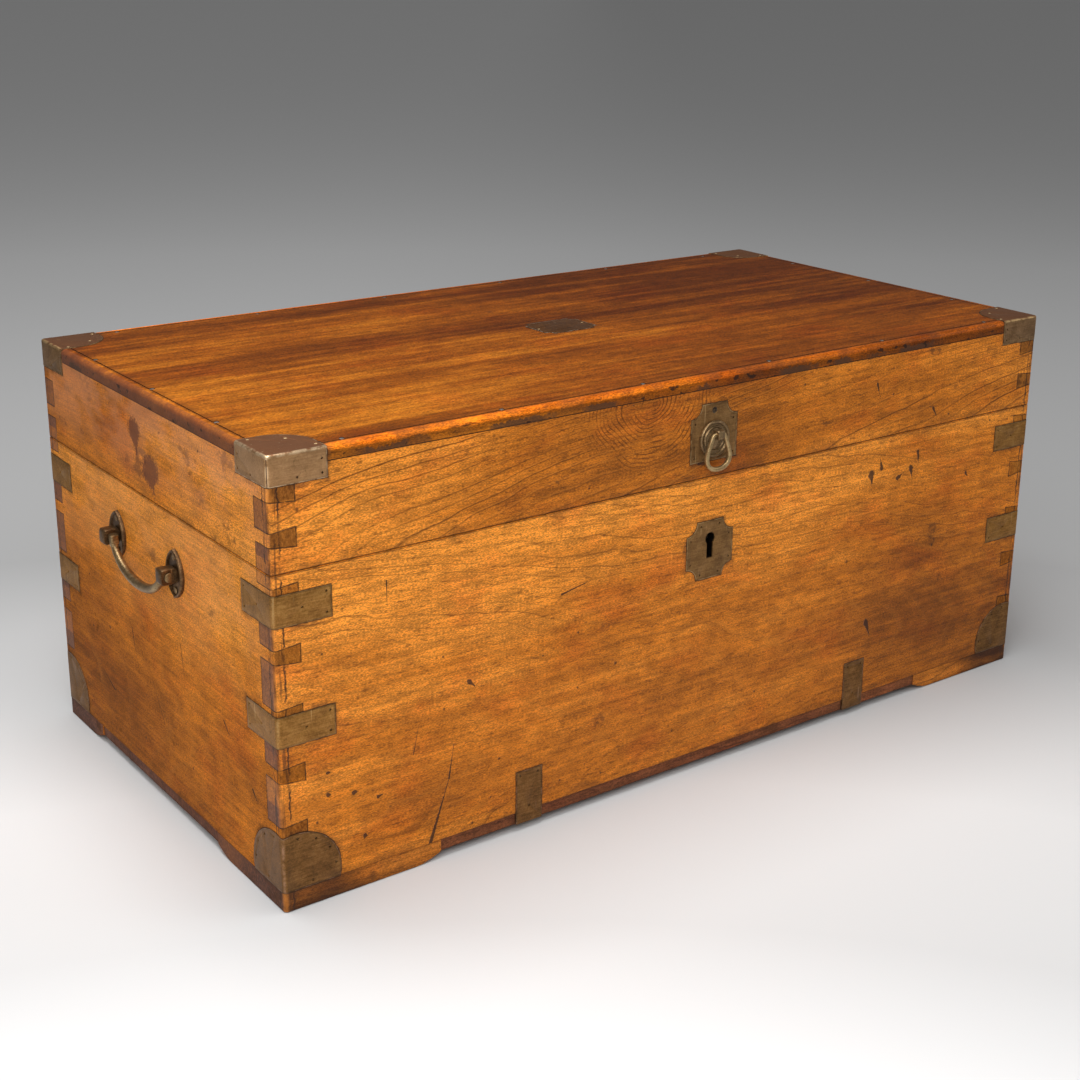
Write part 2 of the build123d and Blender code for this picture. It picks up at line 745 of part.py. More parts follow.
def bail(name, middle):
    """A cast bail hanging from the two lugs of one end, with a thicker grip between collars."""
    hang = spot_plane(name, middle, handle_z, bail_out)
    shoulder = handle_span / 2 - lug_width / 2 - bail_side_play
    head_start = handle_span / 2 + lug_width / 2 + bail_side_play
    with BuildPart() as handle:
        with BuildLine(hang) as rod:
            FilletPolyline((shoulder, 0), (bail_arm_start, 0), (bail_flat, -bail_drop),
                           (-bail_flat, -bail_drop), (-bail_arm_start, 0), (-shoulder, 0),
                           radius=(bail_elbow_round, bail_bend_round, bail_bend_round, bail_elbow_round))
        with BuildSketch(Plane(origin=rod.wires()[0] @ 0, z_dir=rod.wires()[0] % 0)):
            Circle(bail_radius)
        sweep(path=rod.wires()[0])
        for end in (-1, 1):
            pin_plane = Plane(origin=hang.origin + hang.x_dir * end * shoulder, z_dir=hang.x_dir * end)
            with BuildSketch(pin_plane):
                Circle(bail_pin_radius)
            extrude(amount=head_start - shoulder)
            with BuildSketch(pin_plane.offset(head_start - shoulder)):
                Circle(bail_head_radius)
            extrude(amount=bail_head_thick)
            grip_origin = hang.origin - hang.y_dir * bail_drop + hang.x_dir * end * grip_half
            with BuildSketch(Plane(origin=grip_origin, z_dir=hang.x_dir * end)):
                Circle(collar_radius)
            extrude(amount=collar_thick)
        grip_middle = hang.origin - hang.y_dir * bail_drop
        grip_plane = Plane(origin=grip_middle, x_dir=hang.x_dir, z_dir=hang.z_dir)
        with BuildSketch(grip_plane):
            with BuildLine():
                ThreePointArc((-grip_half, bail_radius), (0, grip_radius), (grip_half, bail_radius))
                Polyline((grip_half, bail_radius), (grip_half, 0), (-grip_half, 0), (-grip_half, bail_radius))
            make_face()
        revolve(axis=Axis(grip_plane.origin, grip_plane.x_dir))
    return handle.part


handle_screw_planes = []
handle_plates = {}
for name in ("left", "right"):
    middle = handle_y * rightward[name][1]
    for end, place in ((rightward[name][1], "back"), (-rightward[name][1], "front")):
        spot = middle + end * handle_span / 2
        floor_out = handle_plate_thick - handle_pocket
        screw_heights = (handle_z - handle_screw_offset, handle_z + handle_screw_offset)
        screw_planes = [spot_plane(name, spot, z, floor_out) for z in screw_heights]
        handle_screw_planes += screw_planes
        with BuildPart() as plate:
            add(handle_plate(name, spot))
            add(placed(seat, screw_planes), mode=Mode.SUBTRACT)
        handle_plates[f"{name}_handle_plate_{place}"] = plate.part
    finish(bail(name, middle), f"{name}_bail")
for name, part in handle_plates.items():
    finish(part, name)
handle_screws = placed(screw, handle_screw_planes)
handle_screw_seats = placed(seat, handle_screw_planes)
finish(handle_screws, "handle_screws")

# Lid corner caps: three-sided brass caps over the corners of the lid
with BuildPart() as cap_shell:
    add(upright_block(brass_proud, cap_low, height + brass_proud, high_round=cap_edge_round))
    add(upright_block(-brass_inset, cap_low, height - brass_inset), mode=Mode.SUBTRACT)
lid_corners = {}
for corner, (x_side, y_side) in corners.items():
    with BuildPart() as lid_corner:
        add(cap_shell.part)
        with BuildSketch(Plane.XY.offset(cap_low)) as footprint:
            with Locations((x_side * half_width, y_side * half_depth)):
                Rectangle(2 * cap_reach, 2 * cap_reach)
            fillet(footprint.vertices().sort_by_distance((0, 0))[0], cap_inner_round)
        extrude(amount=cap_height + brass_proud, mode=Mode.INTERSECT)
        with BuildSketch(Plane.XY.offset(cap_low)):
            with Locations((x_side * half_width, y_side * half_depth)):
                Rectangle(6 * corner_round, cap_seam, rotation=45 * x_side * y_side)
        extrude(amount=cap_height - cap_seam_below_top, mode=Mode.SUBTRACT)
        add(lid_tacks, mode=Mode.SUBTRACT)
    lid_corners[corner] = lid_corner.part
    finish(lid_corner.part, f"lid_corner_{corner}")

# Plaque: a brass plate let into the middle of the lid board, left blank
with BuildPart() as lid_plaque:
    with BuildSketch(Plane.XY.offset(height + brass_proud)):
        with Locations((0, plaque_y)):
            notched_rectangle(plaque_length, plaque_width, plaque_notch)
    extrude(amount=-brass_thick)
    add(lid_tacks, mode=Mode.SUBTRACT)
finish(lid_plaque.part, "lid_plaque")

# Pull plate: brass on the lid's front rail, with bites out of its two top corners
pull_screw_z = pull_plate_z + pull_plate_height / 2 - pull_screw_below_plate_top
pull_screw_plane = spot_plane("front", lock_x, pull_screw_z, brass_proud)
pull_screw = placed(wood_screw(pull_screw_length), [pull_screw_plane])
pull_screw_seat = placed(screw_seat(pull_screw_length), [pull_screw_plane])
finish(pull_screw, "pull_screw")
with BuildPart() as pull_plate:
    with BuildSketch(face_plane("front", brass_proud)):
        with Locations((lock_x, pull_plate_z)):
            notched_rectangle(pull_plate_width, pull_plate_height, pull_notch, ends=((-1, 1), (1, 1)))
    extrude(amount=-brass_thick)
    add(lid_tacks, mode=Mode.SUBTRACT)
    add(pull_screw_seat, mode=Mode.SUBTRACT)
finish(pull_plate.part, "pull_plate")

# Pull boss: a cast disc with a raised rim, and an eye for the ring standing on its dome
boss_plane = spot_plane("front", lock_x, boss_z, brass_proud)
eye_radius = ring_wire + ring_gap + eye_wall
with BuildPart() as pull_boss:
    with BuildSketch(boss_plane):
        Circle(boss_radius)
    extrude(amount=boss_thick)
    with BuildSketch(boss_plane):
        Circle(boss_radius)
        Circle(boss_radius - boss_rim, mode=Mode.SUBTRACT)
    extrude(amount=boss_rim_height)
    fillet(pull_boss.faces().sort_by(Axis.Y)[0].edges(), boss_rim_round)
    dome_plane = Plane(origin=boss_plane.origin, x_dir=boss_plane.x_dir, z_dir=(0, 0, 1))
    with BuildSketch(dome_plane):
        with BuildLine():
            crown = ThreePointArc((-boss_dome_radius, 0), (0, -boss_dome_height), (boss_dome_radius, 0))
            Line(crown @ 0, crown @ 1)
        make_face()
        with Locations((-boss_dome_radius, 0)):
            Rectangle(2 * boss_dome_radius, 4 * boss_dome_height, mode=Mode.SUBTRACT)
    revolve(axis=Axis(boss_plane.origin, (0, 1, 0)))
    eye_side = Plane.YZ.offset(lock_x - eye_width / 2)
    eye_middle_y = -(half_depth + eye_out)
    with BuildSketch(eye_side):
        with Locations((eye_middle_y, eye_z)):
            Circle(eye_radius)
        with Locations(((eye_middle_y + boss_plane.origin.Y - boss_thick / 2) / 2, eye_z)):
            Rectangle(eye_out - brass_proud - boss_thick / 2, 2 * eye_radius)
    extrude(amount=eye_width)
    with BuildSketch(eye_side):
        with Locations((eye_middle_y, eye_z)):
            Circle(ring_wire + ring_gap)
    extrude(amount=eye_width, mode=Mode.SUBTRACT)
finish(pull_boss.part, "pull_boss")

# Pull ring: a bent brass wire loop hanging in the eye of the boss
ring_plane = spot_plane("front", lock_x, eye_z, eye_out)
with BuildPart() as pull_ring:
    with BuildLine(ring_plane) as loop:
        FilletPolyline((-ring_shoulder, 0), (ring_shoulder, 0), (ring_width, -ring_shoulder_drop),
                       (ring_foot, -ring_drop), (-ring_foot, -ring_drop), (-ring_width, -ring_shoulder_drop),
                       radius=(ring_shoulder_round, ring_shoulder_round, ring_side_round,
                               ring_foot_round, ring_foot_round, ring_side_round), close=True)
    with BuildSketch(Plane(origin=ring_plane.origin, z_dir=ring_plane.x_dir)):
        Circle(ring_wire)
    sweep(path=loop.wires()[0])
finish(pull_ring.part, "pull_ring")


def nail(length=nail_length):
    """A nail that points down, its round head flush with the origin."""
    with BuildPart() as shape:
        Cylinder(nail_head_radius, nail_head_thick, align=(Align.CENTER, Align.CENTER, Align.MAX))
        Cylinder(nail_radius, length, align=(Align.CENTER, Align.CENTER, Align.MAX))
    return shape.part


# Nails down through the lid board into the rails
board_middle_y = half_depth - wall / 2
board_middle_x = half_width - wall / 2
lid_row = row(-half_width + lid_row_end_gap, half_width - lid_row_end_gap, lid_row_nails)
lid_end_row = row(-half_depth + lid_end_row_gap, half_depth - lid_end_row_gap, lid_end_row_nails)
lid_nail_places = [(x, side * board_middle_y) for side in (-1, 1) for x in lid_row]
lid_nail_places += [(side * board_middle_x, y) for side in (-1, 1) for y in lid_end_row]
lid_nails = placed(nail(), [Plane((x, y, height)) for x, y in lid_nail_places])
finish(lid_nails, "lid_nails")

# Nails up through the bottom boards into the walls, and up through the feet
short_arms = {-1: front_side_foot_arm, 1: back_side_foot_arm}
base_row_end = half_width - long_foot_arm - base_row_gap
base_row = row(-base_row_end, base_row_end, base_row_nails)
base_end_row = row(-half_depth + front_side_foot_arm + base_row_gap,
                   half_depth - back_side_foot_arm - base_row_gap, base_end_row_nails)
base_nail_places = [(x, side * board_middle_y, bottom_low) for side in (-1, 1) for x in base_row]
base_nail_places += [(side * board_middle_x, y, bottom_low) for side in (-1, 1) for y in base_end_row]
for x_side, y_side in corners.values():
    for k in range(int((long_foot_arm - toe_curve - foot_nail_first) / foot_nail_pitch) + 1):
        away = foot_nail_first + k * foot_nail_pitch
        base_nail_places.append((x_side * (half_width - away), y_side * board_middle_y, 0))
    for k in range(int((short_arms[y_side] - toe_curve - foot_nail_first) / foot_nail_pitch) + 1):
        away = foot_nail_first + k * foot_nail_pitch
        base_nail_places.append((x_side * board_middle_x, y_side * (half_depth - away), 0))
base_nails = placed(nail(), [Plane(place, x_dir=(1, 0, 0), z_dir=(0, 0, -1)) for place in base_nail_places])
finish(base_nails, "base_nails")


def foot(x_side, y_side, short_arm):
    """A bracket foot of two arms, each with a curved toe."""
    arms = (long_foot_arm, short_arm)
    with BuildPart() as bracket:
        for (name, end), arm in zip(corner_faces(x_side, y_side), arms):
            half = half_length[name]
            toe_x = end * (half - arm)
            with BuildSketch(face_plane(name)):
                with BuildLine():
                    Polyline((toe_x, toe_rise), (toe_x, foot_height), (end * half, foot_height),
                             (end * half, 0), (toe_x + end * toe_curve, 0))
                    TangentArc((toe_x + end * toe_curve, 0), (toe_x, toe_rise), tangent=(-end, 0))
                make_face()
            extrude(amount=-foot_thick)
        add(upright_block(0, 0, foot_height, low_round=worn_edge), mode=Mode.INTERSECT)
    return bracket.part


feet = {}
for corner, (x_side, y_side) in corners.items():
    feet[corner] = foot(x_side, y_side, short_arms[y_side])
    finish(let_in(feet[corner], [base_nails]), f"foot_{corner}")

# Bottom boards: planks along the chest, nailed up under the walls and cut round the feet
bottom_setback = brass_inset
plank_width = (depth - 2 * bottom_setback - (bottom_planks - 1) * plank_gap) / bottom_planks
plank_names = ("front", "middle", "back")
for k in range(bottom_planks):
    plank_y = -half_depth + bottom_setback + plank_width / 2 + k * (plank_width + plank_gap)
    with BuildPart() as plank:
        with BuildSketch(Plane.XY.offset(bottom_low)):
            with Locations((0, plank_y)):
                Rectangle(width - 2 * bottom_setback, plank_width)
        extrude(amount=bottom_thick)
    board = let_in(plank.part, [*feet.values(), base_straps.part, base_nails])
    finish(board, f"bottom_board_{plank_names[k]}")


def dovetail_heights(low, high, first, pitch):
    """Middle heights of the dovetail pins, from the top down."""
    count = int((high - low - 2 * first) / pitch) + 1
    return [high - first - pitch * k for k in range(count)]


def dovetail_pins(side, heights, slack, mode=Mode.ADD):
    """Outlines of the pins at one end of the chest, narrow outside and wide inside."""
    outer = side * half_width
    inner = side * (half_width - wall)
    narrow = dovetail_narrow / 2 - slack
    wide = dovetail_wide / 2 - slack
    for z in heights:
        Polygon((outer, z - narrow), (outer, z + narrow), (inner, z + wide), (inner, z - wide), mode=mode)


def long_board(name, low, high, heights, top_worn=0.0):
    """A front or back board, its ends cut into tails."""
    with BuildPart() as board:
        with BuildSketch(face_plane(name)):
            with Locations((0, (low + high) / 2)):
                Rectangle(width, high - low)
            for side in (-1, 1):
                dovetail_pins(side, heights, 0, mode=Mode.SUBTRACT)
        extrude(amount=-wall)
        add(upright_block(0, low, high, worn_edge, top_worn), mode=Mode.INTERSECT)
    return board.part


def end_board(side, low, high, heights, top_worn=0.0):
    """An end board with a row of pins at the front and at the back."""
    core_depth = depth - 2 * wall - 2 * dovetail_gap
    with BuildPart() as board:
        with BuildSketch(Plane.XZ.offset(-half_depth)):
            dovetail_pins(side, heights, dovetail_gap)
        extrude(amount=depth)
        with BuildSketch(Plane.XZ.offset(-core_depth / 2)):
            with Locations((side * (half_width - wall / 2), (low + high) / 2)):
                Rectangle(wall, high - low)
        extrude(amount=core_depth)
        add(upright_block(0, low, high, worn_edge, top_worn), mode=Mode.INTERSECT)
    return board.part


# Case boards, each cut for the fittings that it carries
case_dovetails = dovetail_heights(case_low, case_high, case_dovetail_first, case_dovetail_pitch)
lid_dovetails = dovetail_heights(lid_low, rail_high, lid_dovetail_first, lid_dovetail_pitch)
every_corner = [*straps.values(), *base_corners.values()]
with BuildPart() as front_board:
    add(long_board("front", case_low, case_high, case_dovetails, worn_edge))
    with BuildSketch(face_plane("front")):
        keyhole(0, keyhole_floor)
    extrude(amount=-wall, mode=Mode.SUBTRACT)
    for fitting in (keyhole_seat, lock_plate_seat, lock_case_seat, lock_screw_seats, base_straps.part,
                    case_tacks, base_nails, *every_corner):
        add(fitting, mode=Mode.SUBTRACT)
finish(front_board.part, "front_board")
back_cuts = [*hinge_cuts["lower"], base_straps.part, case_tacks, base_nails, *every_corner]
back_board = let_in(long_board("back", case_low, case_high, case_dovetails, worn_edge), back_cuts)
finish(back_board, "back_board")
for side, name in ((-1, "left"), (1, "right")):
    board = end_board(side, case_low, case_high, case_dovetails, worn_edge)
    finish(let_in(board, [case_tacks, base_nails, handle_screw_seats, *every_corner]), f"{name}_end_board")

# Lid rails and the lid board over them
every_cap = list(lid_corners.values())
front_cuts = [lock_link_plate.part, link_screw_seats, pull_plate.part, pull_screw_seat, lid_tacks, lid_nails]
rail = long_board("front", lid_low, rail_high, lid_dovetails)
finish(let_in(rail, [*front_cuts, *every_cap]), "lid_front_rail")
back_rail_cuts = [*hinge_cuts["upper"], lid_tacks, lid_nails, *every_cap]
rail = long_board("back", lid_low, rail_high, lid_dovetails)
finish(let_in(rail, back_rail_cuts), "lid_back_rail")
for side, name in ((-1, "left"), (1, "right")):
    rail = end_board(side, lid_low, rail_high, lid_dovetails)
    finish(let_in(rail, [lid_tacks, lid_nails, *every_cap]), f"lid_{name}_rail")
with BuildPart() as lid_top:
    add(upright_block(0, rail_high, height, high_round=lid_edge_round))
    with BuildSketch(Plane.XY.offset(height)):
        Rectangle(width - 2 * scratch_in, depth - 2 * scratch_in)
        Rectangle(width - 2 * (scratch_in + scratch_width), depth - 2 * (scratch_in + scratch_width),
                  mode=Mode.SUBTRACT)
    extrude(amount=-scratch_depth, mode=Mode.SUBTRACT)
    for fitting in (lid_tacks, lid_nails, lid_plaque.part, *every_cap):
        add(fitting, mode=Mode.SUBTRACT)
finish(lid_top.part, "lid_top")
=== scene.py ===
import json
import math

import bmesh
import bpy
from mathutils import Matrix, Vector

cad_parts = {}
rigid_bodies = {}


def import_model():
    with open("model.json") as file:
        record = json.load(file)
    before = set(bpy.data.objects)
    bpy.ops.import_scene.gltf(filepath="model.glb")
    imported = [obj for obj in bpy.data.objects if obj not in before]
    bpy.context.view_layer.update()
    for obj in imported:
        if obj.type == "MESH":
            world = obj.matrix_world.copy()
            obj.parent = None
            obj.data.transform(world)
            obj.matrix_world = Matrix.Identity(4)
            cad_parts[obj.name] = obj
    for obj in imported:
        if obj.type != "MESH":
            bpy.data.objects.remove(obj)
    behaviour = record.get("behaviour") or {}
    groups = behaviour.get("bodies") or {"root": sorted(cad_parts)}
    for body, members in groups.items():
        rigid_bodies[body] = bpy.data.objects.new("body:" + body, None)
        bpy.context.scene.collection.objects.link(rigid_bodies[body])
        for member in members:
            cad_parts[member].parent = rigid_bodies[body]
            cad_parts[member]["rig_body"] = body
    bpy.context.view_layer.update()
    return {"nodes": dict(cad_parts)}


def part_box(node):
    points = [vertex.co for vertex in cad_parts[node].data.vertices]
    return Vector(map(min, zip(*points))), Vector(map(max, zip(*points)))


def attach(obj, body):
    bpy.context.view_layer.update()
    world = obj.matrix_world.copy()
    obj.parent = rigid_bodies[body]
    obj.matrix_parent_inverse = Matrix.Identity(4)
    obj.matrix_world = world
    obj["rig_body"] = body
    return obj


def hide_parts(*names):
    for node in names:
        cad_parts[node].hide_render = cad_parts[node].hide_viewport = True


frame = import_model()
nodes = frame["nodes"]

# Case boards: the front, back and two ends of the chest, sawn from camphor wood.
# The ends' narrow pins pass through the front and back, where their end grain shows.
# Old polish over them has yellowed, worn thin at the edges and gathered dirt round the brass.
front_low, front_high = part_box("front_board")
half_length = front_high.x
half_depth = -front_low.y
front_face = -half_depth
end_face = -half_length
wall = front_high.y - front_low.y
case_low = front_low.z
case_high = front_high.z
lid_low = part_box("lid_front_rail")[0].z
lid_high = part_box("lid_top")[1].z
rail_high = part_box("lid_top")[0].z
let_in = 0.003
outer_skin = 0.005
origin = (0.0, 0.0, 0.0)
purple_ends = ((0.045, 0.016, 0.010), (0.110, 0.038, 0.021), (0.230, 0.084, 0.036))
amber_ends = ((0.080, 0.024, 0.005), (0.175, 0.056, 0.008), (0.310, 0.110, 0.018))
honey = ((0.215, 0.060, 0.004), (0.490, 0.146, 0.009), (0.770, 0.270, 0.030))
umber = ((0.230, 0.066, 0.004), (0.510, 0.155, 0.009), (0.720, 0.265, 0.032))


class Tree:
    """Adds nodes to a shader or geometry tree, so that a finish reads from top to bottom."""

    def __init__(self, tree):
        self.tree = tree

    def feed(self, socket, value):
        if isinstance(value, bpy.types.NodeSocket):
            self.tree.links.new(value, socket)
        else:
            socket.default_value = (*value, 1.0) if socket.type == "RGBA" else value

    def node(self, kind, inputs=None, **settings):
        made = self.tree.nodes.new(kind)
        for name, value in settings.items():
            setattr(made, name, value)
        for key, value in (inputs or {}).items():
            self.feed(made.inputs[key], value)
        return made

    def add(self, kind, inputs=None, out=0, **settings):
        return self.node(kind, inputs, **settings).outputs[out]

    def effect(self, group, **inputs):
        return self.node("ShaderNodeGroup", inputs, node_tree=group).outputs

    def give(self, **values):
        """Ends a node group with its outputs."""
        for label in values:
            self.tree.interface.new_socket(label, in_out="OUTPUT", socket_type="NodeSocketFloat")
        end = self.tree.nodes.new("NodeGroupOutput")
        for label, value in values.items():
            self.feed(end.inputs[label], value)
        return self.tree

    def math(self, operation, *values):
        return self.add("ShaderNodeMath", dict(enumerate(values)), operation=operation)

    def chain(self, operation, values):
        result, *others = values
        for value in others:
            result = self.math(operation, result, value)
        return result

    def plus(self, *values):
        return self.chain("ADD", values)

    def minus(self, *values):
        return self.chain("SUBTRACT", values)

    def times(self, *values):
        return self.chain("MULTIPLY", values)

    def largest(self, *values):
        return self.chain("MAXIMUM", values)

    def smallest(self, *values):
        return self.chain("MINIMUM", values)

    def unsigned(self, value):
        return self.math("ABSOLUTE", value)

    def vector(self, operation, *values):
        out = "Value" if operation in ("LENGTH", "DOT_PRODUCT", "DISTANCE") else "Vector"
        return self.add("ShaderNodeVectorMath", dict(enumerate(values)), out, operation=operation)

    def stretched(self, vector, by):
        return self.vector("MULTIPLY", vector, by)

    def scaled(self, vector, amount):
        return self.add("ShaderNodeVectorMath", {0: vector, "Scale": amount}, operation="SCALE")

    def point(self, x=0.0, y=0.0, z=0.0):
        return self.add("ShaderNodeCombineXYZ", {0: x, 1: y, 2: z})

    def split(self, vector):
        return self.node("ShaderNodeSeparateXYZ", {0: vector}).outputs[:]

    def smooth(self, value, low, high, start=0.0, end=1.0):
        inputs = {"Value": value, "From Min": low, "From Max": high, "To Min": start, "To Max": end}
        return self.add("ShaderNodeMapRange", inputs, interpolation_type="SMOOTHSTEP")

    def noise(self, vector, scale, detail=2.0, roughness=0.5):
        inputs = {"Vector": vector, "Scale": scale, "Detail": detail, "Roughness": roughness}
        return self.add("ShaderNodeTexNoise", inputs)

    def chance(self, number):
        return self.add("ShaderNodeTexWhiteNoise", {"W": number}, noise_dimensions="1D")

    def swing(self, noise, width):
        return self.times(self.minus(noise, 0.5), width)

    def blend(self, amount, below, above):
        return self.add("ShaderNodeMix", {0: amount, 2: below, 3: above}, data_type="FLOAT")

    def mix(self, amount, below, above, kind="MIX"):
        inputs = {0: amount, 6: below, 7: above}
        return self.add("ShaderNodeMix", inputs, 2, data_type="RGBA", blend_type=kind)

    def ramp(self, value, stops):
        made = self.node("ShaderNodeValToRGB", {0: value})
        for _ in stops[2:]:
            made.color_ramp.elements.new(0.5)
        for element, (place, colour) in zip(made.color_ramp.elements, stops):
            element.position = place
            element.color = (*colour, 1.0)
        return made.outputs[0]

    def bump(self, height, strength, distance):
        return self.add("ShaderNodeBump", {"Height": height, "Strength": strength, "Distance": distance})


def effect(name, **inputs):
    """Starts a node group for an effect that several finishes share: its tree and its inputs."""
    tree = bpy.data.node_groups.new(name, "ShaderNodeTree")
    for label, value in inputs.items():
        kind = "NodeSocketVector" if isinstance(value, tuple) else "NodeSocketFloat"
        tree.interface.new_socket(label, in_out="INPUT", socket_type=kind).default_value = value
    return Tree(tree), tree.nodes.new("NodeGroupInput").outputs


def from_corner(t, x, y):
    """How far a point is in from the ends and in from the front or back."""
    return t.minus(half_length, t.unsigned(x)), t.minus(half_depth, t.unsigned(y))


def make_edge_distance():
    """How far a point on the case or lid is from an upright corner, a level edge, and the rim seen from above."""
    t, given = effect("edge distance", Place=origin, Low=0.0, High=1.0)
    x, y, z = t.split(given["Place"])
    end, side = from_corner(t, x, y)
    level = t.smallest(t.minus(z, given["Low"]), t.minus(given["High"], z))
    fold = t.largest(end, side)
    rim = t.smallest(end, side)
    return t.give(Nearest=t.largest(rim, t.smallest(fold, level)), Fold=fold, Level=level, Rim=rim)


def make_brass_distance():
    """Distance from a point on the chest to the outline of the nearest sheet brass, below 0 on the brass."""
    t, given = effect("brass distance", Place=origin)
    x, y, z = t.split(given["Place"])
    end, side = from_corner(t, x, y)
    corner = t.largest(end, side)
    found = []

    strap_low, strap_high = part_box("straps_front_left")
    strap_reach = strap_high.x + half_length
    half_strap = 0.015
    for middle in (strap_low.z + half_strap, strap_high.z - half_strap):
        level = t.unsigned(t.minus(z, middle))
        found.append(t.largest(t.minus(corner, strap_reach), t.minus(level, half_strap)))

    base_low, base_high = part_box("base_corner_front_left")
    lobe_radius = 0.045
    lobe_centre = (base_high.x + half_length - lobe_radius, base_high.z - lobe_radius, 0.0)
    lobe = t.minus(t.vector("DISTANCE", t.point(corner, z), lobe_centre), lobe_radius)
    found.append(t.largest(lobe, t.minus(base_low.z, z)))

    base_strap_x, half_base_strap = 0.228, 0.0155
    across = t.unsigned(t.minus(t.unsigned(x), base_strap_x))
    found.append(t.largest(t.minus(across, half_base_strap), t.minus(z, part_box("base_straps")[1].z),
                           t.minus(side, let_in)))

    cap_low, cap_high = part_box("lid_corner_front_left")
    cap_round = 0.038
    cap_straight = cap_high.x + half_length - cap_round
    rounded = t.point(t.largest(t.minus(end, cap_straight), 0.0), t.largest(t.minus(side, cap_straight), 0.0))
    found.append(t.largest(t.minus(t.vector("LENGTH", rounded), cap_round), t.minus(cap_low.z, z)))

    plates = (("keyhole_plate", 0.0135, False, 2), ("pull_plate", 0.014, True, 2), ("lid_plaque", 0.008, False, 1))
    for name, notch, top_only, up_axis in plates:
        low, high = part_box(name)
        centre, half = (low + high) / 2, (high - low) / 2
        off_x = t.minus(t.unsigned(t.minus(x, centre.x)), half.x)
        raised = t.minus(z if up_axis == 2 else y, centre[up_axis])
        off_up = t.minus(t.unsigned(raised), half[up_axis])
        bite_up = t.minus(raised, half[up_axis]) if top_only else off_up
        bite = t.vector("LENGTH", t.point(off_x, bite_up))
        depth = t.plus(y, half_depth) if up_axis == 2 else t.minus(lid_high, z)
        found.append(t.largest(off_x, off_up, t.minus(notch, bite), t.minus(depth, let_in)))
    inward = t.minus(t.smallest(end, side, t.minus(lid_high, z)), let_in)
    return t.give(Distance=t.largest(t.smallest(*found), inward))


def make_joint_distance():
    """Distance from a point near a corner to the outline of the nearest dovetail."""
    t, given = effect("joint distance", Place=origin, First=0.08, Pitch=0.0575)
    narrow, wide = 0.0065, 0.009
    x, y, z = t.split(given["Place"])
    end, side = from_corner(t, x, y)
    half_pitch = t.times(given["Pitch"], 0.5)
    shifted = t.plus(t.minus(z, given["First"]), half_pitch)
    level = t.unsigned(t.minus(t.math("FLOORED_MODULO", shifted, given["Pitch"]), half_pitch))
    flare = t.times(end, (wide - narrow) / wall)
    pin = t.largest(t.minus(level, narrow, flare), t.minus(end, wall))
    tail = t.largest(t.minus(narrow, level), t.minus(side, wall))
    on_front = t.math("LESS_THAN", side, end)
    return t.give(Distance=t.unsigned(t.blend(on_front, tail, pin)))


def make_figure():
    """The figure of a flat-sawn camphor board that lies along X, with its heart behind the face."""
    t, given = effect("camphor figure", Place=origin, Heart=origin, Spacing=0.005, Taper=0.03, Wander=1.0, Seed=0.0)
    shifted = t.vector("ADD", given["Place"], t.point(given["Seed"], given["Seed"], given["Seed"]))
    x, y, z = t.split(t.vector("SUBTRACT", given["Place"], given["Heart"]))
    radius = t.vector("LENGTH", t.point(0.0, y, z))
    years = t.math("DIVIDE", t.plus(radius, t.times(x, given["Taper"])), given["Spacing"])
    bends = ((6.0, (1.0, 2.0, 2.0), 2.4), (1.8, (1.0, 2.2, 2.2), 8.0), (0.45, (0.8, 1.6, 1.6), 34.0),
             (0.10, (0.8, 1.5, 1.5), 190.0))
    for turns, stretch, scale in bends:
        bend = t.minus(t.noise(t.stretched(shifted, stretch), scale, 1.0), 0.5)
        years = t.plus(years, t.times(bend, t.times(given["Wander"], turns)))
    season = t.math("FRACT", years)
    strength = t.chance(t.math("FLOOR", years))
    fading = t.smooth(t.noise(t.stretched(shifted, (1.0, 2.5, 2.5)), 5.0, 2.0), 0.34, 0.56, 0.45, 1.0)
    strength = t.times(t.smooth(strength, 0.0, 0.9, 0.40, 1.0), fading)
    line = t.times(t.smooth(season, 0.78, 0.94), t.smooth(season, 0.965, 1.0, 1.0, 0.0))
    slope = t.smooth(t.math("DIVIDE", t.unsigned(z), radius), 0.05, 0.40, 0.30, 1.0)
    short = t.noise(t.stretched(shifted, (0.36, 1.0, 1.0)), 1050.0, 2.0, 0.65)
    long = t.noise(t.stretched(shifted, (0.04, 1.0, 1.0)), 340.0, 3.0, 0.6)
    pores = t.noise(t.stretched(shifted, (0.20, 1.0, 1.0)), 560.0, 1.0)
    return t.give(Ring=t.times(line, strength, slope),
                  Rim=t.times(t.smooth(season, 0.02, 0.26, 1.0, 0.0), strength),
                  Season=season,
                  Streak=t.noise(t.stretched(shifted, (0.045, 1.0, 1.0)), 40.0, 5.0, 0.62),
                  Fibre=t.plus(t.times(short, 0.68), t.times(long, 0.32)),
                  Pore=t.smooth(pores, 0.62, 0.69))


def make_mark():
    """One scratch, split or dent between two points, 1 along its middle and 0 outside it."""
    t, given = effect("mark", Place=origin, Start=origin, End=(0.0, 0.0, 0.1), Width=0.001)
    away = t.vector("SUBTRACT", given["Place"], given["Start"])
    run = t.vector("SUBTRACT", given["End"], given["Start"])
    share = t.math("DIVIDE", t.vector("DOT_PRODUCT", away, run), t.vector("DOT_PRODUCT", run, run))
    share = t.smallest(t.largest(share, 0.0), 1.0)
    off = t.vector("LENGTH", t.vector("SUBTRACT", away, t.scaled(run, share)))
    ragged = t.times(t.noise(given["Place"], 330.0, 3.0), t.times(given["Width"], 1.3))
    taper = t.times(given["Width"], t.smooth(share, 0.0, 1.0, 1.9, 0.9))
    return t.give(Mark=t.smooth(t.plus(off, ragged), t.times(taper, 0.75), taper, 1.0, 0.0))


